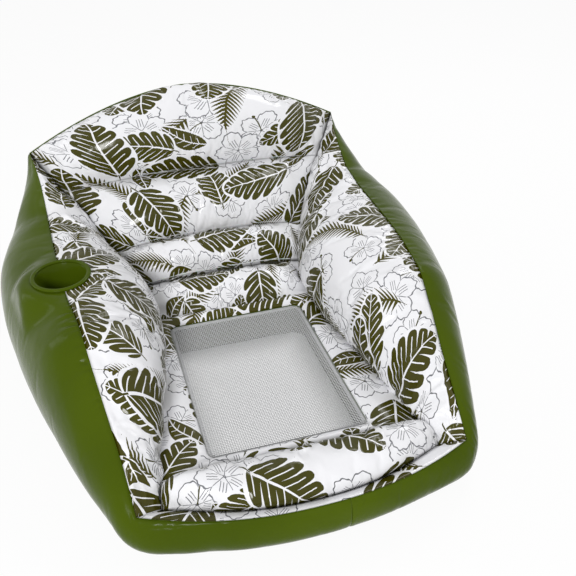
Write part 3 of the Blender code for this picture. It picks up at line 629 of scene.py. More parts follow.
# painted shade: the welds' creases, and the folds where the arms meet the backrest and the seat, darkened
# in the printed film's colour
paintedCreaseShade = {
    "colour": "#1E1F18", "endWidth": 0.0080, "broadShade": 0.28, "broadShadeWidth": 0.022,
    # how dark the painted shade at each weld is and how wide; an arm's beside the seat, then beside the
    # backrest
    "back": ((0.5, 0.003), (0.95, 0.0080), (0.75, 0.0045), (0.6, 0.0032), (0.0, 0.002)),
    "backEnds": 0.95, "roll": ((0.5, 0.003), (0.6, 0.003)), "rollEnds": 0.9,
    "arm": ((0.70, 0.0050), (0.95, 0.0070)), "armStart": 0.50, "armBlend": 0.10,
}


def paintCreaseShade(film, rows, ends=0.0):
    # painted shade darkening the film along its welds and at its ends, where the creases lie in shade,
    # and a faint, broad painted shade beside them
    def shadeAt(away, width, strength):
        # the faint, broad painted shade beside the weld
        thin = paintedCreaseShade["broadShade"] * np.exp(-(away / paintedCreaseShade["broadShadeWidth"]) ** 2)
        return strength * np.maximum(np.exp(-(away / width) ** 2), thin)

    across = walked(film["points"])
    mark = shadeAt(fromEnds(film["points"]), paintedCreaseShade["endWidth"], ends)
    for row, strength, width in rows:
        mark = np.maximum(mark, shadeAt(across - across[row], width, strength))
    return mark


def arcMap(points, row):
    # the film laid flat: along one row, and across from the first row
    along, across = walked(points[row]), walked(points)
    return np.stack([np.broadcast_to(along, across.shape) - along[-1] / 2, across], -1)


def filmPiece(name, node, slot, points, flat, flip=False, closed=False, wall=chair["film"],
              cupHole=False, shift=(0.0, 0.0), mark=None):
    # a film of quads with its own flat map in metres, given its wall
    rows, columns = points.shape[:2]
    faces = gridFaces(rows, columns, closed)
    faces = faces[:, ::-1] if flip else faces
    places = points.reshape(-1, 3).copy()
    flat = flat.reshape(-1, 2) + shift
    if cupHole:
        away = places[:, :2] - cupCentre[:2]
        reach = np.linalg.norm(away, axis=1)
        inner = (reach < cup["hole"]) & (np.abs(places[:, 2] - cupCentre[2]) < 0.02)
        faces = faces[~inner[faces].all(axis=1)]
        grow = cup["hole"] / np.maximum(reach[inner], 1e-6)
        places[inner, :2] = cupCentre[:2] + away[inner] * grow[:, None]
    used, faces = np.unique(faces, return_inverse=True)
    faces = faces.reshape(-1, 4)
    mesh = bpy.data.meshes.new(name)
    mesh.from_pydata(places[used].tolist(), [], faces.tolist())
    layer = mesh.uv_layers.new(name="film")
    corners = np.empty(len(mesh.loops), np.int64)
    mesh.loops.foreach_get("vertex_index", corners)
    layer.data.foreach_set("uv", flat[used][corners].astype(np.float32).ravel())
    # the painted shade along the welds, kept on the points for the printed film's colour
    if mark is not None:
        creaseShade = mesh.attributes.new("paintedWeldShade", "FLOAT", "POINT")
        creaseShade.data.foreach_set("value", mark.ravel()[used].astype(np.float32))
    edit = bmesh.new()
    edit.from_mesh(mesh)
    bmesh.ops.remove_doubles(edit, verts=edit.verts, dist=2e-5)
    bmesh.ops.dissolve_degenerate(edit, edges=edit.edges, dist=1e-6)
    edit.to_mesh(mesh)
    edit.free()
    mesh.shade_smooth()
    piece = newPiece(name, mesh)
    thick = piece.modifiers.new("Wall", "SOLIDIFY")
    thick.thickness = wall
    thick.offset = -1
    applyModifiers(piece)
    finishPiece(piece, node, slot)
    return piece


def selectOnly(piece):
    bpy.ops.object.select_all(action="DESELECT")
    bpy.context.view_layer.objects.active = piece
    piece.select_set(True)


def applyModifiers(piece):
    selectOnly(piece)
    for modifier in list(piece.modifiers):
        bpy.ops.object.modifier_apply(modifier=modifier.name)


def combine(piece, tool, operation, matrix):
    # the tool, set in its place, is joined to the piece or cut out of it
    tool.matrix_world = matrix
    boolean = piece.modifiers.new("Boolean", "BOOLEAN")
    boolean.operation, boolean.object = operation, tool
    applyModifiers(piece)
    bpy.data.objects.remove(tool, do_unlink=True)


def cutRound(piece, matrix, radius):
    # a round hole through a film where a fitting passes
    bpy.ops.object.select_all(action="DESELECT")
    bpy.ops.mesh.primitive_cylinder_add(vertices=48, radius=radius, depth=0.02)
    combine(piece, bpy.context.active_object, "DIFFERENCE", matrix)


def finishPiece(piece, node, slot, body="chair"):
    # its material, the body that it rides on, and the plain solid that it replaces
    piece.data.materials.append(materials[slot])
    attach(piece, body)
    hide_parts(node)


# Materials

def colour(code):
    # sRGB hex to the linear colour that a shader takes
    parts = [int(code[i:i + 2], 16) / 255 for i in (1, 3, 5)]
    return (*[p / 12.92 if p <= 0.04045 else ((p + 0.055) / 1.055) ** 2.4 for p in parts], 1.0)


def add(tree, kind, settings=None, inputs=()):
    # one node with its settings; an input is a value, a socket or a node's first output
    node = tree.nodes.new("ShaderNode" + kind)
    for key, value in (settings or {}).items():
        setattr(node, key, value)
    pairs = inputs.items() if isinstance(inputs, dict) else enumerate(inputs)
    for name, source in pairs:
        if isinstance(source, bpy.types.Node):
            source = source.outputs[0]
        if isinstance(source, bpy.types.NodeSocket):
            tree.links.new(source, node.inputs[name])
        elif source is not None:
            node.inputs[name].default_value = source
    return node


def addSteps(tree, values, steps):
    # a run of sums, each named after what it works out
    for name, operation, *sources in steps:
        values[name] = add(tree, "Math", {"operation": operation, "label": name},
                           [values.get(item, item) for item in sources])
    return values


def newMaterial(name):
    material = bpy.data.materials.new(name)
    material.use_nodes = True
    tree = material.node_tree
    return material, tree, tree.nodes["Principled BSDF"]


def setSockets(shader, values):
    for name, value in values.items():
        shader.inputs[name].default_value = value


# Motifs: named sums on a place x, y, where a motif's length runs from x = -1 to x = 1

splitLeaf = [
    ("side", "ABSOLUTE", "y"), ("xx", "MULTIPLY", "x", "x"), ("left", "SUBTRACT", 1.0, "xx"),
    ("round", "MAXIMUM", "left", 0.0), ("oval", "POWER", "round", 0.55),
    ("taper", "MULTIPLY_ADD", "x", -0.17, 0.64), ("half", "MULTIPLY", "oval", "taper"),
    ("inside", "GREATER_THAN", "half", "side"),
    ("safe", "MAXIMUM", "half", 0.01), ("depth", "DIVIDE", "side", "safe"),
    ("slant", "MULTIPLY_ADD", "side", -1.9, "split"), ("cuts", "MULTIPLY_ADD", "x", 2.6, "slant"),
    ("saw", "PINGPONG", "cuts", 0.5), ("slit", "MULTIPLY_ADD", "depth", 0.13, -0.02),
    ("deep", "POWER", "depth", 14.0), ("open", "MULTIPLY_ADD", "deep", 0.24, "slit"),
    ("solid", "GREATER_THAN", "saw", "open"),
    ("veinSaw", "SUBTRACT", 0.5, "saw"), ("veinWide", "GREATER_THAN", "veinSaw", 0.04),
    ("veinEnd", "GREATER_THAN", "depth", 0.72), ("vein", "MAXIMUM", "veinWide", "veinEnd"),
    ("ribHalf", "MULTIPLY_ADD", "x", -0.012, 0.024), ("rib", "GREATER_THAN", "side", "ribHalf"),
    ("filled", "MULTIPLY", "inside", "solid"), ("lined", "MULTIPLY", "vein", "rib"),
    ("blade", "MULTIPLY", "filled", "lined"),
    ("stemThin", "LESS_THAN", "side", 0.022), ("stemStart", "LESS_THAN", "x", -0.93),
    ("stemEnd", "GREATER_THAN", "x", -1.2), ("stemPart", "MULTIPLY", "stemStart", "stemEnd"),
    ("stem", "MULTIPLY", "stemThin", "stemPart"), ("ink", "MAXIMUM", "blade", "stem"),
    ("farX", "MULTIPLY", "x", 0.955), ("farXX", "MULTIPLY", "farX", "farX"),
    ("farLeft", "SUBTRACT", 1.0, "farXX"), ("farRound", "MAXIMUM", "farLeft", 0.0),
    ("farOval", "POWER", "farRound", 0.55), ("farHalf", "MULTIPLY_ADD", "farOval", "taper", 0.055),
    ("cover", "GREATER_THAN", "farHalf", "side"),
    ("edge", "LESS_THAN", "farXX", 1.0), ("paper", "MULTIPLY", "cover", "edge"),
]

plainLeaf = [
    ("bend", "MULTIPLY", "x", "x"), ("yy", "MULTIPLY_ADD", "bend", 0.18, "y"),
    ("side", "ABSOLUTE", "yy"), ("left", "SUBTRACT", 1.0, "bend"),
    ("round", "MAXIMUM", "left", 0.0), ("oval", "POWER", "round", 0.75),
    ("taper", "MULTIPLY_ADD", "x", -0.13, 0.42), ("half", "MULTIPLY", "oval", "taper"),
    ("inside", "GREATER_THAN", "half", "side"),
    ("slant", "MULTIPLY_ADD", "side", -2.2, 0.2), ("veins", "MULTIPLY_ADD", "x", 3.1, "slant"),
    ("saw", "PINGPONG", "veins", 0.5), ("veinWide", "GREATER_THAN", "saw", 0.05),
    ("limit", "MULTIPLY", "half", 0.7), ("veinEnd", "GREATER_THAN", "side", "limit"),
    ("vein", "MAXIMUM", "veinWide", "veinEnd"), ("rib", "GREATER_THAN", "side", 0.026),
    ("filled", "MULTIPLY", "inside", "vein"), ("ink", "MULTIPLY", "filled", "rib"),
    ("farHalf", "MULTIPLY_ADD", "oval", "taper", 0.07), ("cover", "GREATER_THAN", "farHalf", "side"),
    ("edge", "LESS_THAN", "bend", 1.12), ("paper", "MULTIPLY", "cover", "edge"),
]

palmFrond = [
    ("bend", "MULTIPLY", "x", "x"), ("yy", "MULTIPLY_ADD", "bend", -0.26, "y"),
    ("mid", "ADD", "yy", 0.08), ("side", "ABSOLUTE", "mid"), ("left", "SUBTRACT", 1.0, "bend"),
    ("round", "MAXIMUM", "left", 0.0), ("oval", "POWER", "round", 0.45),
    ("reach", "MULTIPLY", "oval", 0.38), ("safe", "MAXIMUM", "reach", 0.01),
    ("out", "DIVIDE", "side", "safe"), ("outer", "POWER", "out", 1.6),
    ("hand", "SIGN", "mid"), ("shift", "MULTIPLY", "hand", 0.25),
    ("slant", "MULTIPLY_ADD", "side", -7.0, "shift"), ("leaflets", "MULTIPLY_ADD", "x", 8.5, "slant"),
    ("saw", "PINGPONG", "leaflets", 0.5), ("wide", "MULTIPLY_ADD", "outer", -0.36, 0.40),
    ("blade", "LESS_THAN", "saw", "wide"), ("within", "LESS_THAN", "out", 1.0),
    ("blades", "MULTIPLY", "blade", "within"), ("stem", "LESS_THAN", "side", 0.024),
    ("long", "LESS_THAN", "bend", 1.15), ("stalk", "MULTIPLY", "stem", "long"),
    ("ink", "MAXIMUM", "blades", "stalk"),
    ("farReach", "MULTIPLY_ADD", "oval", 0.36, 0.02), ("cover", "LESS_THAN", "side", "farReach"),
    ("edge", "LESS_THAN", "bend", 1.0), ("paper", "MULTIPLY", "cover", "edge"),
]

lineFlower = [
    ("r2", "MULTIPLY", "x", "x"), ("rr", "MULTIPLY_ADD", "y", "y", "r2"), ("r", "SQRT", "rr"),
    ("turn", "ARCTAN2", "y", "x"), ("petals", "MULTIPLY", "turn", 5 / (2 * math.pi)),
    ("saw", "PINGPONG", "petals", 0.5), ("way", "MULTIPLY", "saw", 2.0),
    ("petal", "POWER", "way", 0.42), ("lobe", "MULTIPLY_ADD", "petal", 0.42, 0.50),
    ("wave", "MULTIPLY", "turn", 23.0), ("ripple", "SINE", "wave"),
    ("edgeAt", "MULTIPLY_ADD", "ripple", 0.022, "lobe"), ("off", "SUBTRACT", "r", "edgeAt"),
    ("offSide", "ABSOLUTE", "off"), ("rimWide", "MULTIPLY_ADD", "petal", -0.022, 0.042),
    ("rimLine", "LESS_THAN", "offSide", "rimWide"),
    ("fromSeam", "MULTIPLY", "saw", "r"), ("seamThin", "LESS_THAN", "fromSeam", 0.009),
    ("seamEnd", "LESS_THAN", "r", 0.50), ("seamLine", "MULTIPLY", "seamThin", "seamEnd"),
    ("fromVein", "SUBTRACT", 0.5, "saw"), ("veinOff", "MULTIPLY", "fromVein", "r"),
    ("spread", "MULTIPLY", "veinOff", 14.0), ("strands", "PINGPONG", "spread", 0.5),
    ("strandThin", "LESS_THAN", "strands", 0.13), ("veinNear", "LESS_THAN", "veinOff", 0.09),
    ("start", "GREATER_THAN", "r", 0.20), ("stop", "LESS_THAN", "r", 0.56),
    ("strand", "MULTIPLY", "strandThin", "veinNear"), ("length", "MULTIPLY", "start", "stop"),
    ("veinLine", "MULTIPLY", "strand", "length"), ("heart", "LESS_THAN", "r", 0.055),
    ("petalLines", "MAXIMUM", "rimLine", "seamLine"), ("inner", "MAXIMUM", "veinLine", "heart"),
    ("ink", "MAXIMUM", "petalLines", "inner"), ("paper", "LESS_THAN", "off", 0.03),
]

# the flower's stem with a small bud at its end
flowerBud = [
    ("bend", "MULTIPLY", "x", "x"), ("off", "MULTIPLY_ADD", "bend", -0.14, "y"),
    ("side", "ABSOLUTE", "off"), ("thin", "LESS_THAN", "side", 0.022),
    ("start", "GREATER_THAN", "x", 0.0), ("stop", "LESS_THAN", "x", 0.74),
    ("part", "MULTIPLY", "start", "stop"), ("line", "MULTIPLY", "thin", "part"),
    ("fromX", "SUBTRACT", "x", 0.78), ("xx", "MULTIPLY", "fromX", "fromX"),
    ("rr", "MULTIPLY_ADD", "off", "off", "xx"), ("ball", "LESS_THAN", "rr", 0.0042),
    ("ink", "MAXIMUM", "line", "ball"), ("paper", "LESS_THAN", "rr", 0.0),
]


def motifGroup(name, steps):
    # a motif scattered over a lattice, one turned and shifted copy in a cell
    group = bpy.data.node_groups.new(name, "ShaderNodeTree")
    sockets = [("Place", "Vector"), ("Cell", "Float"), ("Size", "Float"), ("Turn", "Float"),
               ("Seed", "Float"), ("Share", "Float"), ("Jitter", "Float")]
    for label, kind in sockets:
        group.interface.new_socket(label, in_out="INPUT", socket_type="NodeSocket" + kind)
    for label in ("Ink", "Paper"):
        group.interface.new_socket(label, in_out="OUTPUT", socket_type="NodeSocketFloat")
    taken = group.nodes.new("NodeGroupInput").outputs
    turned = add(group, "VectorRotate", {"rotation_type": "Z_AXIS"},
                 {"Vector": taken["Place"], "Angle": taken["Turn"]})
    cells = add(group, "VectorMath", {"operation": "DIVIDE"}, [turned])
    spread = add(group, "CombineXYZ", {}, [taken["Cell"], taken["Cell"], 1.0])
    group.links.new(spread.outputs[0], cells.inputs[1])
    corner = add(group, "VectorMath", {"operation": "FLOOR"}, [cells])
    inCell = add(group, "VectorMath", {"operation": "SUBTRACT"}, [cells, corner])
    middle = add(group, "VectorMath", {"operation": "SUBTRACT"}, [inCell, (0.5, 0.5, 0.0)])
    flatCorner = add(group, "VectorMath", {"operation": "MULTIPLY"}, [corner, (1.0, 1.0, 0.0)])
    noise = add(group, "TexWhiteNoise", {"noise_dimensions": "4D"},
                {"Vector": flatCorner, "W": taken["Seed"]})
    shift = add(group, "VectorMath", {"operation": "SUBTRACT"}, [noise.outputs["Color"], (0.5, 0.5, 0.5)])
    jitter = add(group, "VectorMath", {"operation": "SCALE"}, {0: shift, "Scale": taken["Jitter"]})
    moved = add(group, "VectorMath", {"operation": "SUBTRACT"}, [middle, jitter])
    parts = add(group, "SeparateXYZ", {}, [noise.outputs["Color"]])
    angle = add(group, "Math", {"operation": "MULTIPLY"}, [parts.outputs[2], 2 * math.pi])
    spun = add(group, "VectorRotate", {"rotation_type": "Z_AXIS"}, {"Vector": moved, "Angle": angle})
    scale = add(group, "Math", {"operation": "DIVIDE"}, [taken["Cell"], taken["Size"]])
    local = add(group, "VectorMath", {"operation": "SCALE"}, {0: spun, "Scale": scale})
    where = add(group, "SeparateXYZ", {}, [local])
    values = {"x": where.outputs[0], "y": where.outputs[1], "split": parts.outputs[0]}
    values = addSteps(group, values, steps)
    there = add(group, "Math", {"operation": "LESS_THAN"}, [noise.outputs["Value"], taken["Share"]])
    given = group.nodes.new("NodeGroupOutput")
    for label in ("Ink", "Paper"):
        kept = add(group, "Math", {"operation": "MULTIPLY"}, [values[label.lower()], there])
        group.links.new(kept.outputs[0], given.inputs[label])
    return group


printLayers = (
    # motif, its steps, cell, half length, lattice turn, seed, share of cells, jitter, ink
    ("flower", lineFlower, 0.122, 0.054, 0.30, 3.0, 0.92, 0.10, "#6E6F73"),
    ("bud", flowerBud, 0.122, 0.054, 0.30, 3.0, 0.92, 0.10, "#45430C"),
    ("flower", lineFlower, 0.155, 0.058, 1.15, 8.0, 0.60, 0.20, "#77787D"),
    ("frond", palmFrond, 0.190, 0.084, 0.85, 5.0, 0.66, 0.10, "#4A4610"),
    ("plain", plainLeaf, 0.150, 0.052, 2.10, 2.0, 0.50, 0.28, "#45420A"),
    ("split", splitLeaf, 0.160, 0.064, 1.60, 13.0, 0.62, 0.22, "#444208"),
    ("split", splitLeaf, 0.190, 0.084, 0.55, 7.0, 0.96, 0.14, "#413F06"),
)


def printedVinyl():
    # calendered PVC film, white, reverse printed: a smooth gloss over the ink
    material, tree, shader = newMaterial("calendered_pvc_film_printed")
    flat = add(tree, "UVMap", {"uv_map": "film"})
    wobble = add(tree, "TexNoise", {}, {"Vector": flat, "Scale": 9.0, "Detail": 1.0})
    offset = add(tree, "VectorMath", {"operation": "SUBTRACT"},
                 [wobble.outputs["Color"], (0.5, 0.5, 0.5)])
    swayed = add(tree, "VectorMath", {"operation": "MULTIPLY_ADD"},
                 [offset, (0.022, 0.022, 0.0), flat])
    paper = colour("#F3F3F6")
    result, groups = paper, {}
    for motif, steps, cell, size, turn, seed, share, jitter, ink in printLayers:
        if motif not in groups:
            groups[motif] = motifGroup(motif, steps)
        layer = add(tree, "Group", {"node_tree": groups[motif]},
                    {"Place": swayed, "Cell": cell, "Size": size, "Turn": turn, "Seed": seed,
                     "Share": share, "Jitter": jitter})
        cleared = add(tree, "Mix", {"data_type": "RGBA"},
                      {0: layer.outputs["Paper"], 6: result, 7: paper})
        inked = add(tree, "Mix", {"data_type": "RGBA"},
                    {0: layer.outputs["Ink"], 6: cleared.outputs[2], 7: colour(ink)})
        result = inked.outputs[2]
    # painted shade: the print darkened toward near-black along its welds and at its folded ends, where
    # the creases lie in shade
    paintedWeldShade = add(tree, "Attribute", {"attribute_name": "paintedWeldShade"})
    creaseShaded = add(tree, "Mix", {"data_type": "RGBA"},
                 {0: paintedWeldShade.outputs["Fac"], 6: result, 7: colour(paintedCreaseShade["colour"])})
    tree.links.new(creaseShaded.outputs[2], shader.inputs["Base Color"])
    setSockets(shader, {"Roughness": 0.14, "IOR": 1.30})
    addFilmBump(tree, shader, 0.0)
    return material


def addFilmBump(tree, shader, seed):
    # slow waves of the thin film, and the fine drag of its rollers
    coordinates = add(tree, "TexCoord").outputs["Object"]
    slow = add(tree, "TexNoise", {"noise_dimensions": "4D"},
               {"Vector": coordinates, "W": seed, "Scale": 22.0, "Detail": 2.0})
    fine = add(tree, "TexNoise", {}, {"Vector": coordinates, "Scale": 900.0, "Detail": 1.0})
    low = add(tree, "Bump", {}, {"Strength": 0.35, "Distance": 0.004, "Height": slow})
    high = add(tree, "Bump", {}, {"Strength": 0.04, "Distance": 0.0004, "Height": fine, "Normal": low})
    tree.links.new(high.outputs[0], shader.inputs["Normal"])


def backdropRays(tree):
    # one for the rays that see the white backdrop itself
    rays = add(tree, "LightPath").outputs
    mirrored = add(tree, "Math", {"operation": "MAXIMUM"},
                   [rays["Is Glossy Ray"], rays["Is Transmission Ray"]])
    return add(tree, "Math", {"operation": "MAXIMUM"}, [rays["Is Camera Ray"], mirrored])


def driftingColour(tree, shader, scale, darker, lighter, low=0.0, high=1.0):
    # a base colour that drifts between two tones over the piece
    coordinates = add(tree, "TexCoord").outputs["Object"]
    noise = add(tree, "TexNoise", {}, {"Vector": coordinates, "Scale": scale, "Detail": 2.0})
    ramp = add(tree, "ValToRGB", {}, [noise])
    for tone, position, code in zip(ramp.color_ramp.elements, (low, high), (darker, lighter)):
        tone.position, tone.color = position, colour(code)
    tree.links.new(ramp.outputs[0], shader.inputs["Base Color"])


def greenVinyl():
    # calendered PVC film, dyed through: colour drifts a little where the film is stretched
    material, tree, shader = newMaterial("calendered_pvc_film_moss_green")
    driftingColour(tree, shader, 3.0, "#425208", "#4C5D0B", 0.35, 0.68)
    setSockets(shader, {"Roughness": 0.18, "IOR": 1.14})
    addFilmBump(tree, shader, 4.0)
    return material


def clearVinyl(name, roughness):
    # unprinted film and soft moulded fittings: milky, lets light through
    material, tree, shader = newMaterial(name)
    driftingColour(tree, shader, 60.0, "#D9DBDA", "#ECEDEC")
    setSockets(shader, {"Roughness": roughness, "IOR": 1.53, "Transmission Weight": 0.25,
                        "Subsurface Weight": 0.2, "Subsurface Scale": 0.002})
    return material


def meshThread():
    # polyester yarn in a PVC coat, woven open: pale grey, a soft sheen along each thread
    material, tree, shader = newMaterial("pvc_coated_polyester_mesh_woven")
    driftingColour(tree, shader, 1400.0, "#BDBEC0", "#D8D8D9")
    setSockets(shader, {"Roughness": 0.45, "IOR": 1.5, "Sheen Weight": 0.15})
    return material


materials = {
    "printed_vinyl": printedVinyl(),
    "green_vinyl": greenVinyl(),
    "web_vinyl": clearVinyl("calendered_pvc_film_clear", 0.35),
    "valve_vinyl": clearVinyl("moulded_soft_pvc_clear", 0.25),
    "seat_mesh": meshThread(),
}
print("materials made")

# Films

films = {}
for side, label in ((-1, "Left"), (1, "Right")):
    points = armPoints(side)
    outer = sidePoints(side)
    if side < 0:
        points, outer = flattenForCup(points), flattenForCup(outer)
    films["arm" + label] = makeFilmGrid(points, (side * 0.44, 0.0, 0.12),
                                        still=fromCup(points) < cup["flat"], pointed=True)
    films["wall" + label] = makeFilmGrid(outer, (side * 0.30, 0.0, 0.15),
                                         still=fromCup(outer) < cup["flat"])

channels, weldRows = [], [0]
for channel, rows in enumerate(backrest["rows"]):
    block = channelPoints(channel, even(backrest["columns"]), gathered(rows))
    channels.append(block if channel == len(backrest["rows"]) - 1 else block[:-1])
    weldRows.append(weldRows[-1] + rows)
films["backrest"] = makeFilmGrid(np.concatenate(channels), (0.0, 0.58, 0.15), weldRows)
points = backPoints()
nearValve = np.min([np.linalg.norm(points - np.array(matrix.translation), axis=2)
                    for matrix in valvePlaces], axis=0) < valve["flat"]
films["wallBack"] = makeFilmGrid(points, (0.0, 0.40, 0.20), still=nearValve)
films["roll"] = makeFilmGrid(rollPoints(), (0.0, -0.50, 0.0))
border = borderPoints()
films["border"] = makeFilmGrid(border, (border[0, 0, 0], border[0, 0, 1], -2.0), closed=True)
print("film shapes worked out")

blowUp({name: film for name, film in films.items() if name != "border"})

# Puckers along the welds: row, direction, spacing, depth, reach, start, end

puckers = {
    "armLeft": ((0, 1, 0.020, 0.0012, 0.022, 0.05, 0.95), (0, 1, 0.013, 0.0030, 0.014, 0.22, 0.42),
                (40, -1, 0.026, 0.0022, 0.040, 0.0, 1.0)),
    "armRight": ((0, 1, 0.020, 0.0012, 0.022, 0.05, 0.95), (40, -1, 0.026, 0.0022, 0.040, 0.0, 1.0)),
    "wallLeft": ((0, 1, 0.013, 0.0070, 0.020, 0.40, 0.58), (0, 1, 0.030, 0.0010, 0.040, 0.0, 1.0)),
    "wallRight": ((0, 1, 0.014, 0.0024, 0.022, 0.50, 0.85), (0, 1, 0.030, 0.0012, 0.045, 0.0, 1.0)),
    "wallBack": ((0, 1, 0.018, 0.0014, 0.028, 0.0, 1.0),),
    "roll": ((0, 1, 0.024, 0.0018, 0.030, 0.0, 1.0), (22, -1, 0.022, 0.0020, 0.028, 0.0, 1.0)),
    "border": ((0, 1, 0.030, 0.0012, 0.030, 0.0, 1.0),),
    "backrest": tuple(
        [(row, way, 0.022, 0.0026, 0.034, 0.02, 0.98) for row in weldRows[1:-1] for way in (-1, 1)]
        + [(weldRows[0], 1, 0.024, 0.002, 0.034, 0.02, 0.98),
           (weldRows[2], -1, 0.050, 0.0045, 0.050, 0.03, 0.97),
           (weldRows[1], 1, 0.045, 0.0050, 0.055, 0.03, 0.97),
           (weldRows[1], -1, 0.040, 0.0045, 0.040, 0.03, 0.97),
           (weldRows[-1], -1, 0.018, 0.0012, 0.024, 0.0, 1.0)]),
}
for name, runs in puckers.items():
    for run in runs:
        pucker(films[name], *run)
    films[name]["points"] = finishPoints(films[name])
films["wallBack"]["points"] = flattenForValves(films["wallBack"]["points"])
print("welds puckered")

# painted shade along the welds of the printed films: which rows, how dark and how wide
share = ease((even(arms["columns"], 0.0) - paintedCreaseShade["armStart"]) / paintedCreaseShade["armBlend"])
armSeam = (arms["rows"], *(mix(low, high, share) for low, high in zip(*paintedCreaseShade["arm"])))
backSeams = [(row, *look) for row, look in zip(weldRows, paintedCreaseShade["back"])]
rollSeams = [(row, *look) for row, look in zip((0, roll["rows"]), paintedCreaseShade["roll"])]
creaseShades = {
    "armLeft": paintCreaseShade(films["armLeft"], [armSeam]),
    "armRight": paintCreaseShade(films["armRight"], [armSeam]),
    "backrest": paintCreaseShade(films["backrest"], backSeams, paintedCreaseShade["backEnds"]),
    "roll": paintCreaseShade(films["roll"], rollSeams, paintedCreaseShade["rollEnds"]),
}
filmPieces = (
    # film, its piece, the solid that it replaces, slot, row laid straight, place on the print
    ("armLeft", "arm_film_left", "arm_panel_left", "printed_vinyl", 20, (0.31, 0.02)),
    ("wallLeft", "side_film_left", "side_wall_left", "green_vinyl", 10, (0.0, 0.0)),
    ("armRight", "arm_film_right", "arm_panel_right", "printed_vinyl", 20, (1.47, 0.05)),
    ("wallRight", "side_film_right", "side_wall_right", "green_vinyl", 10, (0.0, 0.0)),
    ("backrest", "backrest_film", "backrest_panel", "printed_vinyl", 47, (2.93, 0.03)),
    ("roll", "roll_film", "front_roll", "printed_vinyl", 11, (4.56, 0.12)),
    ("wallBack", "back_film", "back_wall", "green_vinyl", 10, (0.0, 0.0)),
    ("border", "seat_border_film", "seat_border", "printed_vinyl", None, (5.9, 0.4)),
)
for name, label, node, slot, row, shift in filmPieces:
    film = films[name]
    points = withLip(film["points"]) if name.startswith("wall") else film["points"]
    flat = points[..., :2] if row is None else arcMap(points, row)
    piece = filmPiece(label, node, slot, points, flat, film["flip"], closed=film["closed"],
                      cupHole=name in ("armLeft", "wallLeft"), shift=shift, mark=creaseShades.get(name))
    if name == "wallBack":
        for matrix in valvePlaces:
            cutRound(piece, matrix, valve["hole"])
print("films made")

# Strip in front of the roll, underside, opening's wall and the inner webs

frontStrip = {"rows": 4, "lift": 0.0008, "shift": (7.3, 0.6)}
opening = {"rows": 10, "gap": 0.0004, "below": 0.0006}
underside = {"rows": 16, "wall": 0.0003, "lap": 0.002}
webs = {
    # gaps at the top and the foot, then the ends of the side, front and back webs
    "top": 0.0012, "foot": 0.0008, "sideStart": 0.006, "sideEnd": 0.91, "frontHalf": 0.985,
    "backHalf": 0.86, "backGap": 0.006, "backReach": 0.985,
    # section of the wall that each back web reaches, from the lowest channel weld up
    "sections": (1.0, 0.74, 0.50),
}
openingShares = seatWalk()[1:]


def shares(count):
    return even(count, 0.0)[:, None, None]


def openingLoop(grow, z):
    return onOpening(*openingShares, grow, z)


def aroundFoot(targets):
    # the foot's point that lies in each target's direction from the opening's middle
    across, place = even(seat["steps"]), even(2 * seat["steps"], 0.0)
    runs = (bellyBack(across), bellyArm(place[::-1], 1), bellyFront(across[::-1]), bellyArm(place, -1))
    loop = np.concatenate([footUnder(run)[:-1] for run in runs])
    turn = np.arctan2(loop[:, 1] - meshY, loop[:, 0])
    wanted = np.arctan2(targets[:, 1] - meshY, targets[:, 0])
    x, y = (np.interp(wanted, turn, loop[:, axis], period=2 * np.pi) for axis in (0, 1))
    return spot(x, y, chair["film"])


def webBelow(line, rows):
    # an upright web from just under a fold down to the underside
    top = line - [0, 0, webs["top"]]
    return mix(top, top * [1, 1, 0] + [0, 0, webs["foot"]], shares(rows))


across = even(roll["columns"])
rows = mix(frontWeld(across), rimFront(across), shares(frontStrip["rows"]))
rows[1:-1, :, 2] += frontStrip["lift"]
filmPiece("front_strip_film", "front_strip", "printed_vinyl", rows, rows[..., :2],
          shift=frontStrip["shift"])

top = openingLoop(opening["gap"], chair["seatHeight"] - opening["below"])
foot = openingLoop(seat["slant"], opening["below"])
rows = mix(top, foot, shares(opening["rows"]))
filmPiece("opening_film", "opening_wall", "green_vinyl", rows, arcMap(rows, 5), flip=True,
          closed=True)

inner = openingLoop(seat["slant"] - underside["lap"], chair["film"])
rows = mix(aroundFoot(inner), inner, shares(underside["rows"]))
filmPiece("bottom_film", "bottom_sheet", "green_vinyl", rows, rows[..., :2], flip=True, closed=True,
          wall=underside["wall"])

line = fold(even(120, seatStart + webs["sideStart"], webs["sideEnd"]), 1)
for side, label in ((-1, "left"), (1, "right")):
    rows = webBelow(line * [side, 1, 1], 12)
    filmPiece("side_web_film_" + label, "side_web_" + label, "web_vinyl", rows, arcMap(rows, 6),
              flip=side > 0)
rows = webBelow(creaseLine(even(60, -webs["frontHalf"], webs["frontHalf"])), 10)
filmPiece("front_web_film", "front_web", "web_vinyl", rows, arcMap(rows, 5))
across = even(80, -webs["backHalf"], webs["backHalf"])
for number, section in enumerate(webs["sections"], 1):
    start = backBase(across, np.full(len(across), backrest["welds"][number][0]))
    beyond = start[:, 0] / mix(rim["tipHalf"], belly["tipHalf"], math.sin(section * math.pi / 2))
    end = wallPoints(rimBack(beyond), bellyBack(beyond), [section])[0]
    rows = mix(mix(start, end, webs["backGap"]), mix(start, end, webs["backReach"]), shares(10))
    filmPiece("back_web_film_" + str(number), "back_web_" + str(number), "web_vinyl", rows,
              arcMap(rows, 5))
print("underside, opening and webs made")

# Woven mesh seat: threads over and under each other, with a welded edge band

net = {
    # about twice as coarse as the real weave, so that it shows
    "pitch": 0.0044, "radius": 0.00088, "weave": 0.00060, "sides": 3, "below": 0.0015,
    # the edge band's three lines: out from the opening's edge, and depth under the seat
    "band": ((0.0006, 0.0024), (-0.0045, 0.0028), (-0.009, 0.0034)), "bandWall": 0.0006,
}


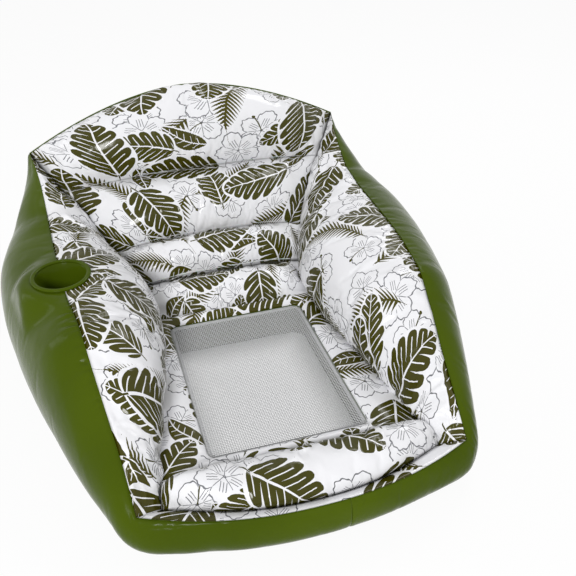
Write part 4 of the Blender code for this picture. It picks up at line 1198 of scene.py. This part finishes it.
def netHeight(x, y):
    xShare = x / (seat["width"] / 2)
    yShare = (y - meshY) / (seat["length"] / 2)
    sag = seat["sag"] * (1 - xShare ** 2) * (1 - yShare ** 2)
    return chair["seatHeight"] - net["below"] - np.maximum(sag, 0)


def threadEnd(offset, halfAcross, halfAlong):
    # where a thread ends, inside the opening's round corners
    past = np.maximum(0, np.abs(offset) - (halfAcross - seat["corner"]))
    return halfAlong - seat["corner"] + np.sqrt(np.maximum(0, seat["corner"] ** 2 - past ** 2))


def weaveThreads():
    halfX, halfY = seat["width"] / 2 - seat["show"], seat["length"] / 2 - seat["show"]
    columns = round(2 * halfX / net["pitch"])
    rows = round(2 * halfY / net["pitch"])
    xs = (np.arange(columns) + 0.5) / columns * 2 * halfX - halfX
    ys = (np.arange(rows) + 0.5) / rows * 2 * halfY - halfY
    vertices, faces = [], []
    for lines, crossings, halfAcross, halfAlong, lengthwise in ((xs, ys, halfX, halfY, True),
                                                                (ys, xs, halfY, halfX, False)):
        for i, offset in enumerate(lines):
            end = threadEnd(offset, halfAcross, halfAlong)
            kept = np.abs(crossings) < end - 0.001
            along = np.concatenate([[-end], crossings[kept], [end]])
            parity = np.where((np.flatnonzero(kept) + i) % 2 == 0, 1, -1) * (1 if lengthwise else -1)
            lift = np.concatenate([[0], parity, [0]]) * net["weave"]
            x, y = (offset, along) if lengthwise else (along, offset)
            line = spot(x, meshY + y, netHeight(x, meshY + y) + lift)
            side = np.array([1.0, 0, 0] if lengthwise else [0, 1.0, 0])
            angle = np.arange(net["sides"]) / net["sides"] * 2 * np.pi + np.pi / 2
            ring = np.outer(np.cos(angle), side) + np.outer(np.sin(angle), [0, 0, 1.0])
            first = sum(len(block) for block in vertices)
            vertices.append((line[:, None] + ring * net["radius"]).reshape(-1, 3))
            quads = gridFaces(len(line), net["sides"], True) + first
            faces += (quads if lengthwise else quads[:, ::-1]).tolist()
            cap = list(range(first, first + net["sides"]))
            last = [corner + (len(line) - 1) * net["sides"] for corner in cap]
            faces += [cap, last[::-1]] if lengthwise else [cap[::-1], last]
    length = sum(2 * threadEnd(x, halfX, halfY) for x in xs)
    length += sum(2 * threadEnd(y, halfY, halfX) for y in ys)
    return np.concatenate(vertices), faces, float(length)


vertices, faces, threadLength = weaveThreads()
mesh = bpy.data.meshes.new("seat_net")
mesh.from_pydata(vertices.tolist(), [], faces)
mesh.shade_smooth()
netPiece = newPiece("seat_net", mesh)
edit = bmesh.new()
edit.from_mesh(mesh)
bmesh.ops.recalc_face_normals(edit, faces=edit.faces)
edit.to_mesh(mesh)
edit.free()
finishPiece(netPiece, "mesh_seat", "seat_mesh")

rows = np.stack([openingLoop(grow, chair["seatHeight"] - depth) for grow, depth in net["band"]])
bandPiece = filmPiece("seat_net_band", "mesh_binding", "seat_mesh", rows, rows[..., :2],
                      flip=films["border"]["flip"], closed=True, wall=net["bandWall"])
print("mesh seat woven")


# Turned pieces: a profile of radius and height, spun about local Z, then set in its place

def turned(name, node, slot, profile, matrix, body="chair", steps=64, closed=False):
    mesh = bpy.data.meshes.new(name)
    edges = [(i, i + 1) for i in range(len(profile) - 1)]
    if closed:
        edges.append((len(profile) - 1, 0))
    mesh.from_pydata([(radius, 0.0, height) for radius, height in profile], edges, [])
    piece = newPiece(name, mesh)
    selectOnly(piece)
    bpy.ops.object.mode_set(mode="EDIT")
    bpy.ops.mesh.select_all(action="SELECT")
    bpy.ops.mesh.spin(steps=steps, angle=2 * math.pi, center=(0, 0, 0), axis=(0, 0, 1))
    bpy.ops.mesh.select_all(action="SELECT")
    bpy.ops.mesh.remove_doubles(threshold=0.00001)
    bpy.ops.mesh.normals_make_consistent(inside=False)
    bpy.ops.object.mode_set(mode="OBJECT")
    piece.matrix_world = matrix
    bpy.ops.object.transform_apply(location=True, rotation=True, scale=True)
    bpy.ops.object.shade_smooth_by_angle(angle=math.radians(50))
    finishPiece(piece, node, slot, body)
    return piece


def arc(centre, radius, start, end, steps):
    # points of an arc in a profile, angles in degrees
    return [(centre[0] + radius * math.cos(math.radians(angle)),
             centre[1] + radius * math.sin(math.radians(angle)))
            for angle in np.linspace(start, end, steps + 1)]


bore, wall = cup["bore"] / 2, cup["wall"]
cupPlace = Matrix.Translation(Vector(cupCentre.tolist()))
base, lip, bend = 0.0015 - cup["depth"], bore + 0.0090, 0.006
inward = bore - cup["draft"] - bend
profile = ([(0.0, base + wall), (inward, base + wall)]
           + arc((inward, base + wall + bend), bend, -90, 0, 6)[1:]
           + [(bore, 0.0), (bore + 0.0015, 0.0015), (lip, 0.0015), (lip, 0.0004), (bore + wall, 0.0),
              (bore + wall - cup["draft"], base + 0.004), (inward, base), (0.0, base)])
turned("cup_well_film", "cup_well", "green_vinyl", profile, cupPlace)
profile = [(radius, height * cup["ringSquash"]) for radius, height
           in arc((bore + cup["ring"], 0.0056), cup["ring"], 0, -337.5, 15)]
turned("cup_collar", "cup_ring", "green_vinyl", profile, cupPlace, closed=True, steps=96)
print("cup holder turned")

# Valves: flange welded to the back film, stem that pushes in, plug on its tether, inner flap

def joinBlock(piece, low, high, matrix):
    # a rounded block merged into a turned piece, as a tether's lug or strap
    bpy.ops.object.select_all(action="DESELECT")
    bpy.ops.mesh.primitive_cube_add(size=1)
    block = bpy.context.active_object
    block.scale = [b - a for a, b in zip(low, high)]
    block.location = [(a + b) / 2 for a, b in zip(low, high)]
    bpy.ops.object.transform_apply(location=True, rotation=True, scale=True)
    bpy.ops.object.mode_set(mode="EDIT")
    bpy.ops.mesh.select_all(action="SELECT")
    bpy.ops.mesh.bevel(offset=0.0002, segments=2, affect="EDGES")
    bpy.ops.object.mode_set(mode="OBJECT")
    combine(piece, block, "UNION", matrix)


def roundedRim(radius, height, bend, steps):
    # the outer upper edge of a turned profile, rounded from its top to its side
    return arc((radius - bend, height - bend), bend, 90, 0, steps)


for number, matrix in enumerate(valvePlaces, 1):
    mark, gap = "_" + str(number), valve["gap"]
    bore, low = valve["stem"] + valve["clearance"], chair["film"] / 2 + gap
    plate = low + valve["flangeWall"]
    boss = plate + valve["bossHeight"]
    profile = ([(bore, boss)] + roundedRim(valve["boss"], boss, 0.0006, 4)
               + [(valve["boss"], plate + 0.0006), (valve["boss"] + 0.0005, plate),
                  (valve["flange"] - 0.0006, plate), (valve["flange"], plate - 0.0004),
                  (valve["flange"], low), (bore, low)])
    turned("valve_plate" + mark, "valve_flange" + mark, "valve_vinyl", profile, matrix, closed=True)
    under = boss + gap
    top = under + valve["lipHeight"]
    bead = -(valve["travel"] + chair["film"] / 2 + gap)
    end = bead - valve["lipHeight"]
    profile = ([(valve["bore"], top)] + roundedRim(valve["lip"], top, 0.0005, 3)
               + [(valve["lip"], under), (valve["stem"], under), (valve["stem"], bead),
                  (valve["lip"], bead), (valve["lip"], end), (valve["bore"], end)])
    stem = turned("valve_tube" + mark, "valve_stem" + mark, "valve_vinyl", profile, matrix,
                  "stem" + mark, closed=True)
    half = valve["tetherWide"] / 2
    joinBlock(stem, (-half, valve["lip"] - valve["lipHeight"], under + gap),
              (half, valve["tether"] + valve["lug"], top - gap), matrix)
    seatAt = top + gap
    head, tip = seatAt + valve["headHeight"], seatAt - valve["plugLength"]
    profile = ([(0.0, head)] + roundedRim(valve["head"], head, 0.0006, 3)
               + [(valve["head"], seatAt), (valve["plug"], seatAt), (valve["plugTip"], tip), (0.0, tip)])
    plug = turned("valve_stopper" + mark, "valve_plug" + mark, "valve_vinyl", profile, matrix,
                  "plug" + mark)
    strap = seatAt + gap
    joinBlock(plug, (-half, valve["plug"], strap),
              (half, valve["tether"] + gap, strap + valve["tetherWall"]), matrix)
    high = end - gap
    tip = high - valve["flapWall"]
    profile = [(0.0, high), (valve["flap"], high), (valve["flap"], tip), (0.0, tip)]
    turned("valve_tongue" + mark, "valve_flap" + mark, "valve_vinyl", profile, matrix, "flap" + mark)
print("valves made")

# Stage: pale floor, soft light, and the camera at the photograph's angle

paper = {
    "colour": "#FBFBFB", "size": 30, "below": 0.0002, "white": 0.93,
    # how far in from the seat opening's edge the painted shadow ends, and beyond the edge
    "within": (-0.02, 0.09), "beyond": (-0.07, -0.09),
}
bpy.ops.object.select_all(action="DESELECT")
bpy.ops.mesh.primitive_plane_add(size=paper["size"], location=(0, 0, -paper["below"]))
ground = bpy.context.active_object
ground.name = "floor"
floorMaterial, tree, shader = newMaterial("matt_white_paper")
setSockets(shader, {"Base Color": colour(paper["colour"]), "Roughness": 0.9, "Specular IOR Level": 0.0})
white = add(tree, "Emission")
# the floor's white glow fades out near the seat opening's walls: the chair's real shadow shows there,
# deepened by this painted shadow
offset = add(tree, "VectorMath", {"operation": "SUBTRACT"},
             [add(tree, "TexCoord").outputs["Object"], (0.0, meshY, 0.0)])
offset = add(tree, "VectorMath", {"operation": "ABSOLUTE"}, [offset])
inward = add(tree, "VectorMath", {"operation": "SUBTRACT"},
             [(seat["width"] / 2 + seat["slant"], seat["length"] / 2 + seat["slant"], 0.0), offset])
parts = add(tree, "SeparateXYZ", {}, [inward])
inward = add(tree, "Math", {"operation": "MINIMUM"}, [parts.outputs[0], parts.outputs[1]])
within, beyond = (add(tree, "MapRange", {"interpolation_type": "SMOOTHSTEP"},
                      {"Value": inward, "From Min": dark, "From Max": lit, "To Max": paper["white"]})
                  for dark, lit in (paper["within"], paper["beyond"]))
bright = add(tree, "Math", {"operation": "MAXIMUM"}, [within, beyond])
bright = add(tree, "Math", {"operation": "MULTIPLY"}, [backdropRays(tree), bright])
paperSeen = add(tree, "MixShader", {}, {0: bright, 1: shader, 2: white})
tree.links.new(paperSeen.outputs[0], tree.nodes["Material Output"].inputs["Surface"])
ground.data.materials.append(floorMaterial)

light = {
    "world": 0.38,
    # name, place, aim, width, height, watts
    "lamps": (("key", (-2.1, -4.4, 3.2), (0.0, 0.0, 0.1), 1.3, 1.3, 188.0),
              ("side", (-2.6, 1.2, 1.6), (0.0, 0.0, 0.2), 0.6, 2.0, 10.0),
              ("rear", (1.6, 1.4, 2.6), (0.0, 0.0, 0.2), 1.4, 0.9, 26.0)),
}
world = bpy.data.worlds.new("studio")
bpy.context.scene.world = world
world.use_nodes = True
tree = world.node_tree
backdrop = tree.nodes["Background"]
level = add(tree, "MapRange", {}, {"Value": backdropRays(tree), "To Min": light["world"], "To Max": 1.0})
tree.links.new(level.outputs[0], backdrop.inputs["Strength"])
backdrop.inputs["Color"].default_value = (1, 1, 1, 1)

for name, spotAt, aim, width, height, watts in light["lamps"]:
    lamp = bpy.data.lights.new(name, "AREA")
    lamp.shape, lamp.size, lamp.size_y, lamp.energy = "RECTANGLE", width, height, watts
    holder = newPiece(name, lamp)
    holder.location = spotAt
    holder.rotation_euler = (Vector(spotAt) - Vector(aim)).to_track_quat("Z", "Y").to_euler()

view = {
    "azimuth": -13.08896, "elevation": 35.91524, "roll": -2.93432,
    "focalPixels": 694.56, "middleX": 241.07, "middleY": 317.04, "picture": 576,
    "place": (-0.29198, -1.30644, 1.06617),
}
azimuth, elevation = math.radians(view["azimuth"]), math.radians(view["elevation"])
back = Vector((math.sin(azimuth) * math.cos(elevation), -math.cos(azimuth) * math.cos(elevation),
               math.sin(elevation)))
right = Vector((math.cos(azimuth), math.sin(azimuth), 0))
up = back.cross(right)
c, s = math.cos(math.radians(view["roll"])), math.sin(math.radians(view["roll"]))
pose = Matrix((right * c + up * s, up * c - right * s, back)).transposed().to_4x4()
pose.translation = view["place"]
camera = newPiece("camera", bpy.data.cameras.new("camera"))
camera.matrix_world = pose
camera.data.sensor_width = 36
camera.data.lens = view["focalPixels"] / view["picture"] * camera.data.sensor_width
camera.data.shift_x = (view["picture"] / 2 - view["middleX"]) / view["picture"]
camera.data.shift_y = (view["middleY"] - view["picture"] / 2) / view["picture"]
bpy.context.scene.camera = camera
bpy.context.scene.view_settings.view_transform = "Standard"
print("stage, light and camera set")
